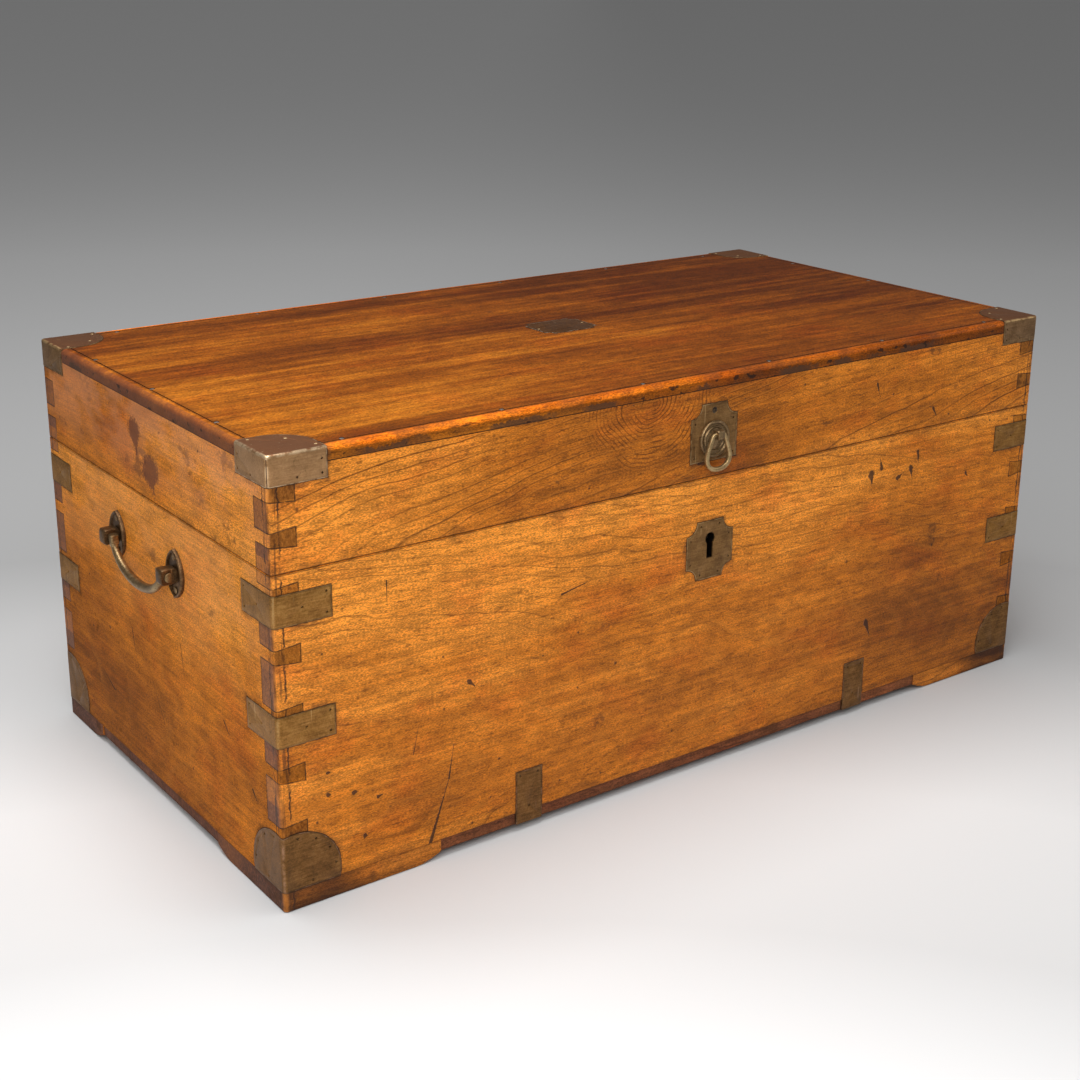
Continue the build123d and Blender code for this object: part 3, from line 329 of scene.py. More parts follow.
edge_distance = make_edge_distance()
brass_distance = make_brass_distance()
joint_distance = make_joint_distance()
figure = make_figure()
mark = make_mark()


def new_finish(name):
    """A new material, with its tree and its surface shader."""
    material = bpy.data.materials.new(name)
    material.use_nodes = True
    return material, Tree(material.node_tree), material.node_tree.nodes["Principled BSDF"]


def camphor(name, colours, heart, spacing, seed, along="X", taper=0.03, wander=1.0, low=0.0, high=1.0, joints=None,
            marks=(), knots=(), streaks=0.5, rings=0.6, tone_and_painted_light=None, stains=0.66, shine=0.36, gloss=0.18, nosing=None,
            ends=purple_ends, painted_hollow_shade=None, painted_glow=None, spills=()):
    """Camphor wood with its figure along one axis, the wear and dirt of its place on the chest, and painted light
    and shade.
    """
    material, t, surface = new_finish(name)
    place = t.add("ShaderNodeTexCoord", out="Object")
    facing = t.split(t.vector("ABSOLUTE", t.add("ShaderNodeTexCoord", out="Normal")))
    height = t.split(place)[2]
    board = place
    if along == "Y":
        board = t.add("ShaderNodeVectorRotate", {"Vector": place, "Angle": math.radians(90)}, rotation_type="Z_AXIS")
    grain = t.effect(figure, Place=board, Heart=heart, Spacing=spacing, Taper=taper, Wander=wander, Seed=seed)
    ring = grain["Ring"]
    for centre, stretch, size, pitch in knots:
        from_knot = t.stretched(t.vector("SUBTRACT", place, centre), stretch)
        away = t.plus(t.vector("LENGTH", from_knot), t.swing(t.noise(place, 16.0, 2.0), 0.024))
        turns = t.math("FRACT", t.math("DIVIDE", away, pitch))
        patches = t.smooth(t.noise(place, 55.0, 2.0), 0.36, 0.60)
        knot_line = t.times(t.smooth(turns, 0.55, 0.85), t.smooth(turns, 0.90, 1.0, 1.0, 0.0))
        ring = t.blend(t.smooth(away, size * 0.55, size, 1.0, 0.0), ring, t.times(knot_line, patches))

    dark, warm, pale = colours
    broad = t.noise(t.stretched(board, (1.0, 2.6, 2.6)), 4.5, 3.0, 0.55)
    shade = t.plus(t.times(broad, 0.7), t.times(grain["Streak"], streaks), t.times(grain["Season"], 0.08),
                   0.11 - streaks * 0.5)
    # the tone is real wear on the feet, and painted light and shade on the boards and the lid
    if tone_and_painted_light:
        shade = t.plus(shade, tone_and_painted_light(t, place))
    colour = t.ramp(shade, [(0.22, dark), (0.50, warm), (0.80, pale)])
    blush = t.smooth(t.noise(t.stretched(board, (0.7, 1.2, 1.2)), 13.0, 4.0, 0.65), 0.48, 0.70, 0.0, 0.55)
    colour = t.mix(blush, colour, t.mix(1.0, colour, (0.92, 0.66, 0.62), "MULTIPLY"))
    fibre = t.smooth(grain["Fibre"], 0.39, 0.61, 0.59, 1.39)
    mottle = t.noise(t.stretched(board, (0.5, 1.0, 1.0)), 85.0, 4.0, 0.65)
    colour = t.scaled(colour, t.times(fibre, t.smooth(mottle, 0.36, 0.62, 0.83, 1.13)))
    line_colour = (0.42 * dark[0], 0.36 * dark[1], 0.40 * dark[2])
    colour = t.mix(t.times(grain["Rim"], rings * 0.35), colour, pale)
    colour = t.mix(t.times(ring, rings), colour, line_colour)
    colour = t.mix(t.times(grain["Pore"], 0.45), colour, line_colour)

    end_on = t.smooth(facing[0 if along == "X" else 1], 0.6, 0.9)
    speckle = t.noise(t.stretched(place, (1.0, 1.0, 0.6)), 430.0, 3.0, 0.7)
    each = t.chance(t.math("FLOOR", t.times(height, 38.0)))
    colour = t.mix(t.times(end_on, t.smooth(each, 0.0, 1.0, 0.42, 0.90)), colour,
                   t.ramp(speckle, list(zip((0.34, 0.50, 0.68), ends))))

    patchy = t.noise(place, 34.0, 4.0, 0.62)
    fine_patchy = t.noise(place, 190.0, 3.0, 0.6)
    edges = t.effect(edge_distance, Place=place, Low=low, High=high)
    brass = t.effect(brass_distance, Place=place)[0]
    edge_dirt = t.smooth(t.plus(edges["Nearest"], t.swing(patchy, 0.055)), -0.004, 0.006, 0.30, 0.0)
    brass_dirt = t.smooth(t.plus(brass, t.swing(patchy, 0.030)), -0.003, 0.005, 0.60, 0.0)
    bruise = t.noise(t.stretched(place, (1.0, 1.0, 1.3)), 21.0, 5.0, 0.66)
    dirt = t.largest(edge_dirt, brass_dirt, t.smooth(bruise, stains, stains + 0.07, 0.0, 0.6))
    colour = t.mix(dirt, colour, (0.070, 0.027, 0.011))
    # painted light: a paler, cloudy glow over the upper part of the end faces; bloom is the colour of this painted
    # glow
    if painted_glow:
        glow_start, glow_end, amount, bloom = painted_glow
        glow_cover = t.times(t.smooth(height, glow_start, glow_end, 0.0, amount),
                        t.math("LESS_THAN", edges["Rim"], outer_skin), t.smooth(facing[0], 0.4, 0.9))
        cloudy = t.smooth(t.noise(t.stretched(board, (1.0, 1.6, 1.6)), 9.0, 5.0, 0.68), 0.34, 0.56)
        colour = t.mix(t.times(cloudy, glow_cover), colour, bloom)
    seam = t.plus(edges["Level"], t.swing(fine_patchy, 0.0008))
    open_seam = 0.94
    foot_seam = open_seam if low > case_high - 0.01 else 0.40
    upright = t.times(t.smooth(facing[2], 0.3, 0.6, 1.0, 0.0),
                      t.smooth(height, low + 0.01, low + 0.02, foot_seam, open_seam))
    colour = t.mix(t.times(t.smooth(seam, 0.0007, 0.0011, 1.0, 0.0), upright), colour, (0.012, 0.006, 0.004))
    outline = t.plus(brass, t.swing(fine_patchy, 0.002))
    colour = t.mix(t.smooth(outline, 0.0004, 0.0013, 0.85, 0.0), colour, (0.020, 0.010, 0.006))
    fold = t.plus(edges["Fold"], t.swing(fine_patchy, 0.006))
    crack = t.unsigned(t.minus(fold, 0.0095))
    crack = t.times(t.smooth(crack, 0.0004, 0.0014, 0.90, 0.0), t.smooth(patchy, 0.38, 0.54))
    grazed = t.noise(t.stretched(place, (1.0, 1.0, 0.07)), 330.0, 3.0, 0.6)
    grazed = t.times(t.smooth(grazed, 0.50, 0.60, 0.0, 0.60), t.smooth(fold, 0.0080, 0.0120, 1.0, 0.0))
    colour = t.mix(t.largest(crack, grazed), colour, (0.040, 0.017, 0.009))
    rub = t.times(t.smooth(fold, 0.0008, 0.0060, 0.60, 0.0), t.smooth(patchy, 0.44, 0.62),
                  t.smooth(brass, 0.0002, 0.0010))
    colour = t.mix(rub, colour, (0.72, 0.25, 0.040))
    if nosing:
        colour = nosing(t, place, edges, patchy, fine_patchy, colour)
    if joints:
        first, pitch = joints
        joint = t.effect(joint_distance, Place=place, First=first, Pitch=pitch)[0]
        joint = t.plus(joint, t.swing(fine_patchy, 0.0016))
        colour = t.mix(t.smooth(joint, 0.0002, 0.0009, 0.85, 0.0), colour, (0.026, 0.012, 0.007))

    flaws = []
    flat_on = (1.0, 1.0, 0.0) if nosing else (1.0, 0.0, 1.0)
    for scale, share, size in ((34.0, 0.78, 0.07), (95.0, 0.86, 0.13)):
        cell = t.node("ShaderNodeTexVoronoi", {"Vector": t.stretched(board, flat_on), "Scale": scale})
        picked = t.split(cell.outputs["Color"])
        spot = t.minus(cell.outputs["Distance"], t.times(picked[1], size))
        flaws.append(t.times(t.math("GREATER_THAN", picked[0], share), t.smooth(spot, -0.03, 0.03, 0.85, 0.0)))
    for start, end, width in marks:
        flaws.append(t.effect(mark, Place=place, Start=start, End=end, Width=width)[0])
    flaw = t.largest(*flaws)
    colour = t.mix(t.times(flaw, 0.88), colour, (0.030, 0.013, 0.008))
    for start, end, width in spills:
        spill = t.effect(mark, Place=place, Start=start, End=end, Width=width)[0]
        colour = t.mix(t.times(spill, 0.78), colour, (0.110, 0.037, 0.022))
    # painted shade: the wood inside the keyhole is painted near black
    if painted_hollow_shade:
        colour = t.mix(painted_hollow_shade(t, place), colour, (0.004, 0.002, 0.001))

    surface.inputs["Specular IOR Level"].default_value = gloss
    t.feed(surface.inputs["Base Color"], colour)
    t.feed(surface.inputs["Roughness"], t.plus(shine, t.times(grain["Fibre"], 0.22), t.times(dirt, 0.22)))
    relief = t.plus(t.times(grain["Fibre"], 0.25), t.times(ring, -0.4), t.times(grain["Pore"], -0.5),
                    t.times(flaw, -2.2), t.times(patchy, 0.40))
    t.feed(surface.inputs["Normal"], t.bump(relief, 0.4, 0.0005))
    return material


def finish_with(material, *names):
    """Gives CAD pieces a finish."""
    for name in names:
        nodes[name].data.materials.clear()
        nodes[name].data.materials.append(material)


def painted_light_from_left(t, place):
    """Painted light: the front is paler towards its left end and its top, with painted shade towards its right end
    and its foot.
    """
    x, _, z = t.split(place)
    across = t.smooth(x, -0.45, 0.45, 0.12, -0.09)
    return t.plus(across, t.smooth(z, case_low, case_high, -0.10, 0.08), t.smooth(z, 0.20, case_high, 0.0, 0.14))


def on_front(*rows):
    """Marks on the front: where each starts and ends, along and up, and its width."""
    return [((x, front_face, z), (end_x, front_face, end_z), width) for x, z, end_x, end_z, width in rows]


def on_left_end(*rows):
    """Marks on the left end: where each starts and ends, along and up, and its width."""
    return [((end_face, y, z), (end_face, end_y, end_z), width) for y, z, end_y, end_z, width in rows]


case_joints = (0.0795, 0.0575)
front_marks = on_front(
    (-0.344, 0.020, -0.322, 0.083, 0.0018),
    (-0.322, 0.083, -0.316, 0.118, 0.0009),
    (-0.452, 0.106, -0.449, 0.105, 0.0022),
    (-0.425, 0.100, -0.421, 0.100, 0.0026),
    (-0.400, 0.088, -0.395, 0.089, 0.0019),
    (-0.452, 0.128, -0.448, 0.128, 0.0017),
    (-0.415, 0.052, -0.412, 0.051, 0.0026),
    (-0.361, 0.120, -0.354, 0.152, 0.0005),
    (0.300, 0.285, 0.303, 0.272, 0.0030),
    (0.236, 0.288, 0.238, 0.277, 0.0044),
    (0.310, 0.302, 0.312, 0.288, 0.0022),
    (0.252, 0.292, 0.249, 0.304, 0.0024),
    (0.279, 0.276, 0.288, 0.281, 0.0028),
    (0.243, 0.110, 0.250, 0.092, 0.0032),
    (-0.298, 0.178, -0.292, 0.172, 0.0024),
    (-0.190, 0.242, -0.150, 0.250, 0.0010),
    (-0.452, 0.300, -0.449, 0.290, 0.0018),
    (0.395, 0.262, 0.399, 0.256, 0.0018),
    (-0.386, 0.300, -0.386, 0.276, 0.0007),
)


def painted_light_on_ends(t, place):
    """Painted light and shade on the ends: paler towards the top and the front, darker towards the floor and the
    back.
    """
    _, y, z = t.split(place)
    return t.plus(t.smooth(z, 0.10, 0.30, -0.16, 0.20), t.smooth(y, -0.25, 0.25, 0.06, -0.06))


def painted_keyhole_shade(t, place):
    """Painted shade: the wood round the keyhole, deeper than its plate, is painted near black inside the hole."""
    x, y, z = t.split(place)
    low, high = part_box("keyhole_plate")
    centre = (low + high) / 2
    plate_thick = 0.0012
    off = t.largest(t.unsigned(t.minus(x, centre.x)), t.unsigned(t.minus(z, centre.z)))
    return t.times(t.math("LESS_THAN", off, 0.020), t.math("GREATER_THAN", y, plate_thick - half_depth))


# the front carries painted light from the left and above
front_wood = camphor("camphor front", heart=(0.10, -0.08, 0.10), spacing=0.0075, taper=0.10, wander=1.3, seed=3.1,
                     colours=honey, low=case_low, high=case_high, joints=case_joints, marks=front_marks,
                     streaks=0.45, rings=0.55, tone_and_painted_light=painted_light_from_left, painted_hollow_shade=painted_keyhole_shade)
back_wood = camphor("camphor back", heart=(0.2, 0.10, 0.22), spacing=0.007, taper=-0.08, wander=1.2, seed=11.7,
                    colours=umber, low=case_low, high=case_high, joints=case_joints, streaks=0.45)
end_marks = on_left_end(
    (-0.060, 0.196, -0.066, 0.158, 0.0007),
    (0.060, 0.172, 0.052, 0.136, 0.0009),
    (-0.150, 0.150, -0.164, 0.136, 0.0012),
    (-0.010, 0.090, 0.016, 0.132, 0.0006),
    (-0.205, 0.102, -0.214, 0.092, 0.0016),
    (0.120, 0.080, 0.150, 0.094, 0.0010),
)
# the ends carry painted light and shade, and a painted glow on their upper part
end_wood = camphor("camphor ends", along="Y", heart=(0.05, 0.35, 0.12), spacing=0.008, taper=0.12, seed=7.3,
                   colours=umber, low=case_low, high=case_high, joints=case_joints, marks=end_marks, streaks=0.35,
                   rings=0.4, tone_and_painted_light=painted_light_on_ends, stains=0.64, shine=0.52, gloss=0.08, ends=amber_ends,
                   painted_glow=(0.15, 0.30, 0.32, (0.660, 0.290, 0.110)))
finish_with(front_wood, "front_board")
finish_with(back_wood, "back_board")
finish_with(end_wood, "left_end_board", "right_end_board")

# Base: three bottom boards nailed up under the walls, and a bracket foot at each corner.
# Both are camphor wood, darker and duller than the sides, with toes rubbed round on floors.
russet = ((0.060, 0.018, 0.008), (0.170, 0.052, 0.018), (0.330, 0.115, 0.036))


def scuffed_corners(t, place):
    """The feet are darkest at the corners, where the chest has been slid about."""
    x, y, _ = t.split(place)
    end, side = from_corner(t, x, y)
    return t.smooth(t.largest(end, side), 0.045, 0.110, -0.34, 0.0)


foot_tones = ((0.070, 0.022, 0.006), (0.370, 0.112, 0.010), (0.650, 0.220, 0.028))
base_wood = camphor("camphor base", heart=(0.0, 0.1, -0.1), spacing=0.006, seed=17.9, colours=russet,
                    low=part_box("bottom_board_front")[0].z, high=case_low, streaks=0.6, stains=0.58, shine=0.50)
foot_wood = camphor("camphor feet", heart=(0.0, 0.1, -0.1), spacing=0.006, seed=23.3, colours=foot_tones,
                    streaks=0.6, tone_and_painted_light=scuffed_corners, stains=0.58, shine=0.46)
finish_with(base_wood, "bottom_board_front", "bottom_board_middle", "bottom_board_back")
finish_with(foot_wood, "foot_front_left", "foot_front_right", "foot_back_left", "foot_back_right")

# Corner straps and base corners: thin sheet brass let into the wood and nailed round each corner.
# The olive patina is rubbed through to bright metal along the folds and outlines.
bright_brass = (0.78, 0.53, 0.24)


def merged_copy(*names):
    """The CAD pieces as one mesh with shared corners and whole flat faces, free of split normals."""
    shape = bmesh.new()
    for name in names:
        shape.from_mesh(nodes[name].data)
    bmesh.ops.remove_doubles(shape, verts=shape.verts, dist=0.000002)
    bmesh.ops.dissolve_limit(shape, angle_limit=math.radians(0.4), verts=shape.verts, edges=shape.edges)
    mesh = bpy.data.meshes.new(names[0])
    shape.to_mesh(mesh)
    shape.free()
    return mesh


def put(name, mesh, material, body, material_slot, *replaced):
    """Places a finished mesh on the chest, in place of its CAD pieces."""
    piece = bpy.data.objects.new(name, mesh)
    bpy.context.scene.collection.objects.link(piece)
    mesh.materials.clear()
    mesh.materials.append(material)
    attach(piece, body)
    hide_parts(*replaced)
    return piece


def worn_metal(name, material, material_slot, *replaced, soft=0.0003):
    """A metal piece with its edges and corners rubbed round."""
    mesh = merged_copy(*replaced)
    for face in mesh.polygons:
        face.use_smooth = True
    piece = put(name, mesh, material, nodes[replaced[0]]["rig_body"], material_slot, *replaced)
    rounding = piece.modifiers.new("rubbed edges", "BEVEL")
    rounding.width = soft
    rounding.segments = 2
    rounding.limit_method = "ANGLE"
    rounding.angle_limit = math.radians(30)
    rounding.harden_normals = True
    return piece


def brass(name, colours, rough=0.42, metal=0.85, rubbed=0.5, mottle=1.0, low=0.0, high=1.0, outlined=True,
          tarnished_top=None, worn=bright_brass, spotting=0.7, dents=0.5):
    """Old brass: mottled patina, rubbed bright along folds and outlines, with fine scratches."""
    material, t, surface = new_finish(name)
    place = t.add("ShaderNodeTexCoord", out="Object")
    clouds = t.noise(place, 70.0, 4.0, 0.6)
    grains = t.noise(place, 620.0, 3.0, 0.65)
    drag = t.noise(t.stretched(place, (0.08, 1.0, 1.0)), 700.0, 2.0)
    patina = t.plus(t.times(clouds, 0.36 * mottle), t.times(grains, 0.36 * mottle), t.times(drag, 0.28 * mottle),
                    0.5 - 0.5 * mottle)
    dark, middle, pale = colours
    colour = t.ramp(patina, [(0.34, dark), (0.50, middle), (0.66, pale)])
    if tarnished_top:
        upward = t.smooth(t.split(t.add("ShaderNodeTexCoord", out="Normal"))[2], 0.4, 0.9, 0.0, 0.85)
        colour = t.mix(upward, colour, tarnished_top)
    patchy = t.noise(place, 120.0, 3.0, 0.6)
    edges = t.effect(edge_distance, Place=place, Low=low, High=high)
    rub = t.smooth(edges["Nearest"], 0.0006, 0.0030, 0.85, 0.0)
    if outlined:
        outline = t.effect(brass_distance, Place=place)[0]
        rub = t.largest(rub, t.smooth(outline, -0.0011, -0.0003, 0.0, 0.6))
        colour = t.mix(t.smooth(outline, -0.0018, -0.0004, 0.0, 0.45), colour, (0.030, 0.018, 0.010))
    rub = t.times(rub, t.smooth(patchy, 0.38, 0.60))
    scratch = t.smooth(t.noise(t.stretched(place, (1.0, 1.0, 0.06)), 400.0, 1.0), 0.70, 0.78, 0.0, 0.35)
    bright = t.largest(t.times(rub, rubbed * 1.5), scratch)
    colour = t.mix(bright, colour, worn)
    spots = t.smooth(t.noise(place, 240.0, 3.0, 0.7), 0.62, 0.72, 0.0, spotting)
    colour = t.mix(spots, colour, (0.035, 0.022, 0.012))
    t.feed(surface.inputs["Base Color"], colour)
    surface.inputs["Metallic"].default_value = metal
    dullness = t.plus(rough, t.times(grains, 0.22), t.times(bright, -0.16), t.times(spots, 0.2))
    t.feed(surface.inputs["Roughness"], dullness)
    relief = t.plus(t.times(clouds, 0.9), t.times(grains, 0.30), t.times(spots, -0.4))
    t.feed(surface.inputs["Normal"], t.bump(relief, dents, 0.0006))
    return material


olive = ((0.150, 0.066, 0.014), (0.320, 0.150, 0.034), (0.490, 0.262, 0.078))
bronze = ((0.082, 0.037, 0.012), (0.200, 0.094, 0.027), (0.340, 0.170, 0.056))
straps_brass = brass("patinated strap brass", olive, low=case_low, high=case_high, rubbed=0.22, spotting=0.35,
                     dents=0.3)
base_brass = brass("dark base brass", bronze, high=case_high, worn=(0.480, 0.270, 0.160), spotting=0.5,
                   dents=0.4)
for corner in ("front_left", "front_right", "back_left", "back_right"):
    worn_metal("corner_straps_" + corner, straps_brass, "sheet_brass", "straps_" + corner, soft=0.0004)
    worn_metal("base_corner_shell_" + corner, base_brass, "sheet_brass", "base_corner_" + corner, soft=0.0004)
worn_metal("base_strap_plates", base_brass, "sheet_brass", "base_straps")

# Lock: the keyhole plate on the front, and behind it the lock let into the back of the front board.
# Its bolt slides along to catch the staple on the lid; the works are iron in a brass-faced case.
plate_tones = ((0.125, 0.060, 0.020), (0.240, 0.124, 0.042), (0.360, 0.200, 0.072))
plate_brass = brass("keyhole brass", plate_tones, low=case_low, high=case_high, spotting=0.4, dents=0.3)


def iron(name, colour, rough=0.55, rust=0.35):
    """Grey iron with a brown bloom of rust."""
    material, t, surface = new_finish(name)
    place = t.add("ShaderNodeTexCoord", out="Object")
    clouds = t.noise(place, 160.0, 5.0, 0.65)
    grains = t.noise(place, 1400.0, 2.0)
    rusty = t.smooth(clouds, 0.45, 0.62, 0.0, rust * 2.0)
    colour = t.mix(rusty, colour, (0.115, 0.045, 0.018))
    t.feed(surface.inputs["Base Color"], t.scaled(colour, t.smooth(grains, 0.3, 0.7, 0.8, 1.2)))
    t.feed(surface.inputs["Roughness"], t.plus(rough, t.times(rusty, 0.25)))
    t.feed(surface.inputs["Metallic"], t.smooth(rusty, 0.0, 0.6, 0.9, 0.3))
    t.feed(surface.inputs["Normal"], t.bump(clouds, 0.5, 0.0003))
    return material


dark_iron = iron("dark iron", (0.12, 0.11, 0.10))
worn_metal("keyhole_cover", plate_brass, "sheet_brass", "keyhole_plate")
worn_metal("lock_face_plate", plate_brass, "sheet_brass", "lock_plate")
worn_metal("lock_box", dark_iron, "lock_iron", "lock_case")
worn_metal("sliding_bolt", dark_iron, "lock_iron", "lock_bolt")
worn_metal("bolt_spring", dark_iron, "lock_iron", "lock_spring", soft=0.0001)
worn_metal("lid_staple", plate_brass, "sheet_brass", "lock_link_plate", soft=0.0002)

# Handles: a cast bail on each end swings between two small plates screwed to the wood.
# The castings are dark bronze brown, bright where hands and the bail rub them.
cast_dark = brass("dark cast brass", ((0.045, 0.024, 0.012), (0.130, 0.070, 0.030), (0.290, 0.165, 0.072)),
                  rough=0.34, outlined=False, rubbed=0.3)
cast_hand = brass("handled cast brass", ((0.110, 0.066, 0.028), (0.270, 0.175, 0.080), (0.520, 0.370, 0.185)),
                  rough=0.28, outlined=False, rubbed=0.3, spotting=0.5, dents=0.35)
eye_out = 0.011


def skin(shape, rows, round_trip=False):
    """Faces between rows of corners; the first and last rows are closed unless the rows run round."""
    for low, high in zip(rows, rows[1:] + rows[:1] if round_trip else rows[1:]):
        for i in range(len(low)):
            j = (i + 1) % len(low)
            shape.faces.new((low[i], low[j], high[j], high[i]))
    if not round_trip:
        shape.faces.new(rows[0][::-1])
        shape.faces.new(rows[-1])


def oval(half_wide, half_high, fullness=2.0, turns=24):
    """Points round an oval, which grows square as its fullness grows."""
    points = []
    for i in range(turns):
        c, s = math.cos(math.tau * i / turns), math.sin(math.tau * i / turns)
        points.append((half_wide * math.copysign(abs(c) ** (2 / fullness), c),
                       half_high * math.copysign(abs(s) ** (2 / fullness), s)))
    return points


def leaf(half_high, half_wide, shrink, turns=14):
    """Points round a pointed oval, where two circles overlap."""
    arc = (half_high ** 2 + half_wide ** 2) / (2 * half_wide)
    inward = arc - half_wide
    radius = arc - shrink
    tip = math.acos(inward / radius)
    side = [(radius * math.cos(a) - inward, radius * math.sin(a))
            for a in (tip * (2 * i / turns - 1) for i in range(turns))]
    return side + [(-wide, -high) for wide, high in side]


def row(shape, centre, wide, high, points):
    """A row of corners in the plane of two directions."""
    return [shape.verts.new(centre + wide * a + high * b) for a, b in points]


def pierced_block(shape, centre, along, out, up, half, foot, hole, width):
    """A squared lug with a round hole through it along one direction, whose foot reaches into its plate."""
    def section(scale):
        return [(a * scale * (foot / half if a < 0 else 1.0), b * scale) for a, b in oval(half, half, 5.0)]

    rim = width * 0.07
    stations = [(rim - width / 2, section(1.0)), (width / 2 - rim, section(1.0)), (width / 2, section(0.93)),
                (width / 2, oval(hole, hole)), (-width / 2, oval(hole, hole)), (-width / 2, section(0.93))]
    skin(shape, [row(shape, centre + along * station, out, up, points) for station, points in stations],
         round_trip=True)


def swept(shape, path, out, sections, round_trip=False):
    """A bar along a flat path, with its own section at each point of the path."""
    rows = []
    for i, spot in enumerate(path):
        before = path[i - 1] if round_trip or i else spot
        after = path[(i + 1) % len(path)] if round_trip or i + 1 < len(path) else spot
        across = (after - before).normalized().cross(out)
        rows.append(row(shape, spot, across, out, sections[i]))
    skin(shape, rows, round_trip)


def cast(name, shape, material, material_slot, replaced):
    """Turns a finished casting into a piece of the chest, in place of its CAD piece."""
    bmesh.ops.recalc_face_normals(shape, faces=shape.faces)
    mesh = bpy.data.meshes.new(name)
    shape.to_mesh(mesh)
    shape.free()
    for face in mesh.polygons:
        face.use_smooth = True
    mesh.set_sharp_from_angle(angle=math.radians(42))
    return put(name, mesh, material, nodes[replaced]["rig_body"], material_slot, replaced)


up = Vector((0.0, 0.0, 1.0))
across_end = Vector((0.0, 1.0, 0.0))
for side, out in (("left", Vector((-1.0, 0.0, 0.0))), ("right", Vector((1.0, 0.0, 0.0)))):
    middles = []
    for end in ("front", "back"):
        plate = side + "_handle_plate_" + end
        low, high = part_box(plate)
        seat = (low + high) / 2
        seat.x = high.x if side == "left" else low.x
        middles.append(seat)
        shape = bmesh.new()
        levels = ((0.0, 0.0), (0.0024, 0.0), (0.0036, 0.0005), (0.0042, 0.0014), (0.0041, 0.0021), (0.0032, 0.0029),
                  (0.0017, 0.0037))
        skin(shape, [row(shape, seat + out * level, across_end, up, leaf(0.025, 0.0175, shrink))
                     for level, shrink in levels])
        pierced_block(shape, seat + out * eye_out, across_end, out, up, 0.0080, 0.0095, 0.00358, 0.013)
        cast(side + "_handle_mount_" + end, shape, cast_dark, "cast_brass", plate)
    hang = (middles[0] + middles[1]) / 2 + out * eye_out
    arm, drop = 0.0574, 0.0306
    path, sections = [], []
    for level, half, fullness in ((0.0044, 0.0036, 4.0), (0.0037, 0.0043, 5.0)):
        path.append(hang + across_end * -arm + up * level)
        sections.append(oval(half, half, fullness))
    steps = 40
    for i in range(steps + 1):
        share = 0.035 + 0.93 * i / steps
        turn = math.pi * share
        path.append(hang - across_end * arm * math.cos(turn) - up * drop * math.sin(turn))
        belly = math.sin(turn) ** 1.5
        collar = share < 0.068 or share > 0.932
        thick = 0.0043 if collar else 0.0035 + 0.0014 * belly
        sections.append(oval(thick, thick, 5.0 if collar else 2.0))
    path += [hang + across_end * arm + up * 0.0037, hang + across_end * arm + up * 0.0044]
    sections += sections[1::-1]
    shape = bmesh.new()
    swept(shape, path, out, sections)
    for end in (-1.0, 1.0):
        turned = ((0.056, 0.0034), (0.0762, 0.0034), (0.0762, 0.0048), (0.0773, 0.0048), (0.0778, 0.0042))
        skin(shape, [row(shape, hang + across_end * end * place, out, up, oval(radius, radius))
                     for place, radius in turned])
    cast(side + "_bail_casting", shape, cast_hand, "cast_brass", side + "_bail")

# Hinges: brass butts let into the back, with a steel pin through five knuckles.
# They are duller than the front fittings, because only the wall sees them.
hinge_brass = brass("hinge brass", ((0.075, 0.040, 0.016), (0.190, 0.105, 0.042), (0.350, 0.220, 0.095)),
                    outlined=False, rubbed=0.35)
for side in ("left", "right"):
    worn_metal("hinge_case_leaf_" + side, hinge_brass, "hinge_brass", "hinge_lower_leaf_" + side)
    worn_metal("hinge_lid_leaf_" + side, hinge_brass, "hinge_brass", "hinge_upper_leaf_" + side)
worn_metal("hinge_pin_rods", dark_iron, "iron", "hinge_pins")

# Lid: four dovetailed rails under one wide board, whose front edge stands as a darker band.
# The top is polished darker than the sides, painted paler at its left front as painted light, scored along its
# edges, and rubbed pale at the nosing, where a painted highlight lies over the rubbing.
top_tones = ((0.082, 0.017, 0.001), (0.215, 0.053, 0.002), (0.450, 0.140, 0.008))


def painted_light_on_top(t, place):
    """Painted light: the top board is paler at its left front, with painted shade towards the back and the right."""
    x, y, _ = t.split(place)
    across = t.smooth(x, -0.55, 0.40, 0.12, -0.14)
    return t.plus(across, t.smooth(y, -0.26, 0.20, 0.06, -0.14))


